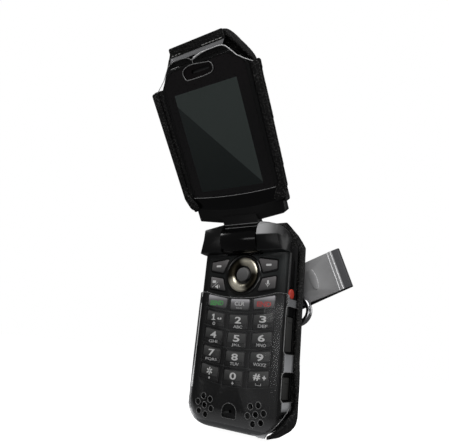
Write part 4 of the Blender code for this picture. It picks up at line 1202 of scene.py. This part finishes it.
# the right half of the rib's outline and the two bend lines are beads painted pale: painted glints
clipGlints = joined("clip_glint_lines", [
    beadPiece("rib", rib, 0.16, place=onClip),
    beadPiece("bend", [(41.3, 0.05, -bendHalf), (41.3, 0.05, bendHalf)], 0.34, place=onClip),
    beadPiece("bend", [(43.0, 0.0, -bendHalf), (43.0, 0.0, bendHalf)], 0.42, place=onClip),
])
fitted(clipGlints, "clip", "nickel", finish="paintedHighlight")
ringPlan = {"x": 22.0, "z": -31.5, "y": 18.5, "out": 6.2, "wire": 1.5}
wire = [(ringPlan["out"] + x, ringPlan["y"] + y) for x, y in circleOutline(0.0, 0.0, ringPlan["wire"], 24)]
ring = spunPiece("steel_ring", wire, ringPlan["x"], ringPlan["z"])
fitted(ring, "ring", "dark_metal", "d_ring", finish="blackNickel")
print("clip ready")

floorPaint = Paint("pale_floor", {"Roughness": 0.9, "Emission Strength": 0.92})
floorCloud = floorPaint.noise(floorPaint.point(Matrix.Identity(4)), 300.0, 2.0)
floorPaint.feed(floorPaint.shader, {
    "Base Color": floorPaint.mix(floorCloud, grey(0.86), grey(0.9)), "Emission Color": (1.0, 1.0, 1.0, 1.0),
})
bpy.ops.object.select_all(action="DESELECT")
bpy.ops.mesh.primitive_plane_add(size=6.0, location=(0.0, 0.0, cadBox[0].z - 0.001))
floor = bpy.context.object
floor.name = "floor"
floor.data.materials.append(floorPaint.material)
floor.visible_glossy = False
floor.visible_diffuse = False

world = bpy.data.worlds.new("studio")
bpy.context.scene.world = world
world.use_nodes = True
tree = world.node_tree
surround = tree.nodes["Background"]
surround.inputs["Color"].default_value = (0.10, 0.10, 0.102, 1.0)
backdrop = tree.nodes.new("ShaderNodeBackground")
backdrop.inputs["Color"].default_value = (1.0, 1.0, 1.0, 1.0)
path = tree.nodes.new("ShaderNodeLightPath")
either = tree.nodes.new("ShaderNodeMixShader")
tree.links.new(path.outputs["Is Camera Ray"], either.inputs[0])
tree.links.new(surround.outputs[0], either.inputs[1])
tree.links.new(backdrop.outputs[0], either.inputs[2])
tree.links.new(either.outputs[0], tree.nodes["World Output"].inputs[0])

middle = (cadBox[0] + cadBox[1]) / 2


def softbox(name, place, wide, high, power):
    light = bpy.data.lights.new(name, "AREA")
    light.shape = "RECTANGLE"
    light.size = wide
    light.size_y = high
    light.energy = power
    made = placed(name, light)
    made.location = middle + Vector(place)
    made.rotation_euler = (-Vector(place)).to_track_quat("-Z", "Y").to_euler()


# each light as its place from the phone's middle in metres, its width and height, and its watts
softboxes = {
    "key_light": ((0.35, -0.75, 0.55), 0.5, 0.5, 4.2), "left_light": ((-0.75, -0.1, 0.75), 0.5, 0.6, 4.0),
    "fill_light": ((0.8, 0.35, 0.2), 0.5, 0.7, 2.6), "low_light": ((0.1, -0.7, -0.05), 0.9, 0.12, 1.0),
}
for name, (place, wide, high, power) in softboxes.items():
    softbox(name, place, wide, high, power)

eye = {
    "lens": 35.74, "place": (0.1202, -0.2022, -0.0276), "ahead": (-0.573, 0.771, 0.277),
    "aside": (0.816, 0.569, 0.103),
}
lens = bpy.data.cameras.new("camera")
lens.lens = eye["lens"]
lens.sensor_width = 36.0
lens.clip_start = 0.01
camera = placed("camera", lens)
ahead = Vector(eye["ahead"]).normalized()
aside = Vector(eye["aside"])
aside = (aside - aside.dot(ahead) * ahead).normalized()
upright = aside.cross(ahead)
turned = Matrix((aside, upright, -ahead)).transposed().to_4x4()
camera.matrix_world = Matrix.Translation(eye["place"]) @ turned
bpy.context.scene.camera = camera
bpy.context.scene.view_settings.view_transform = "Standard"
print("stage ready")
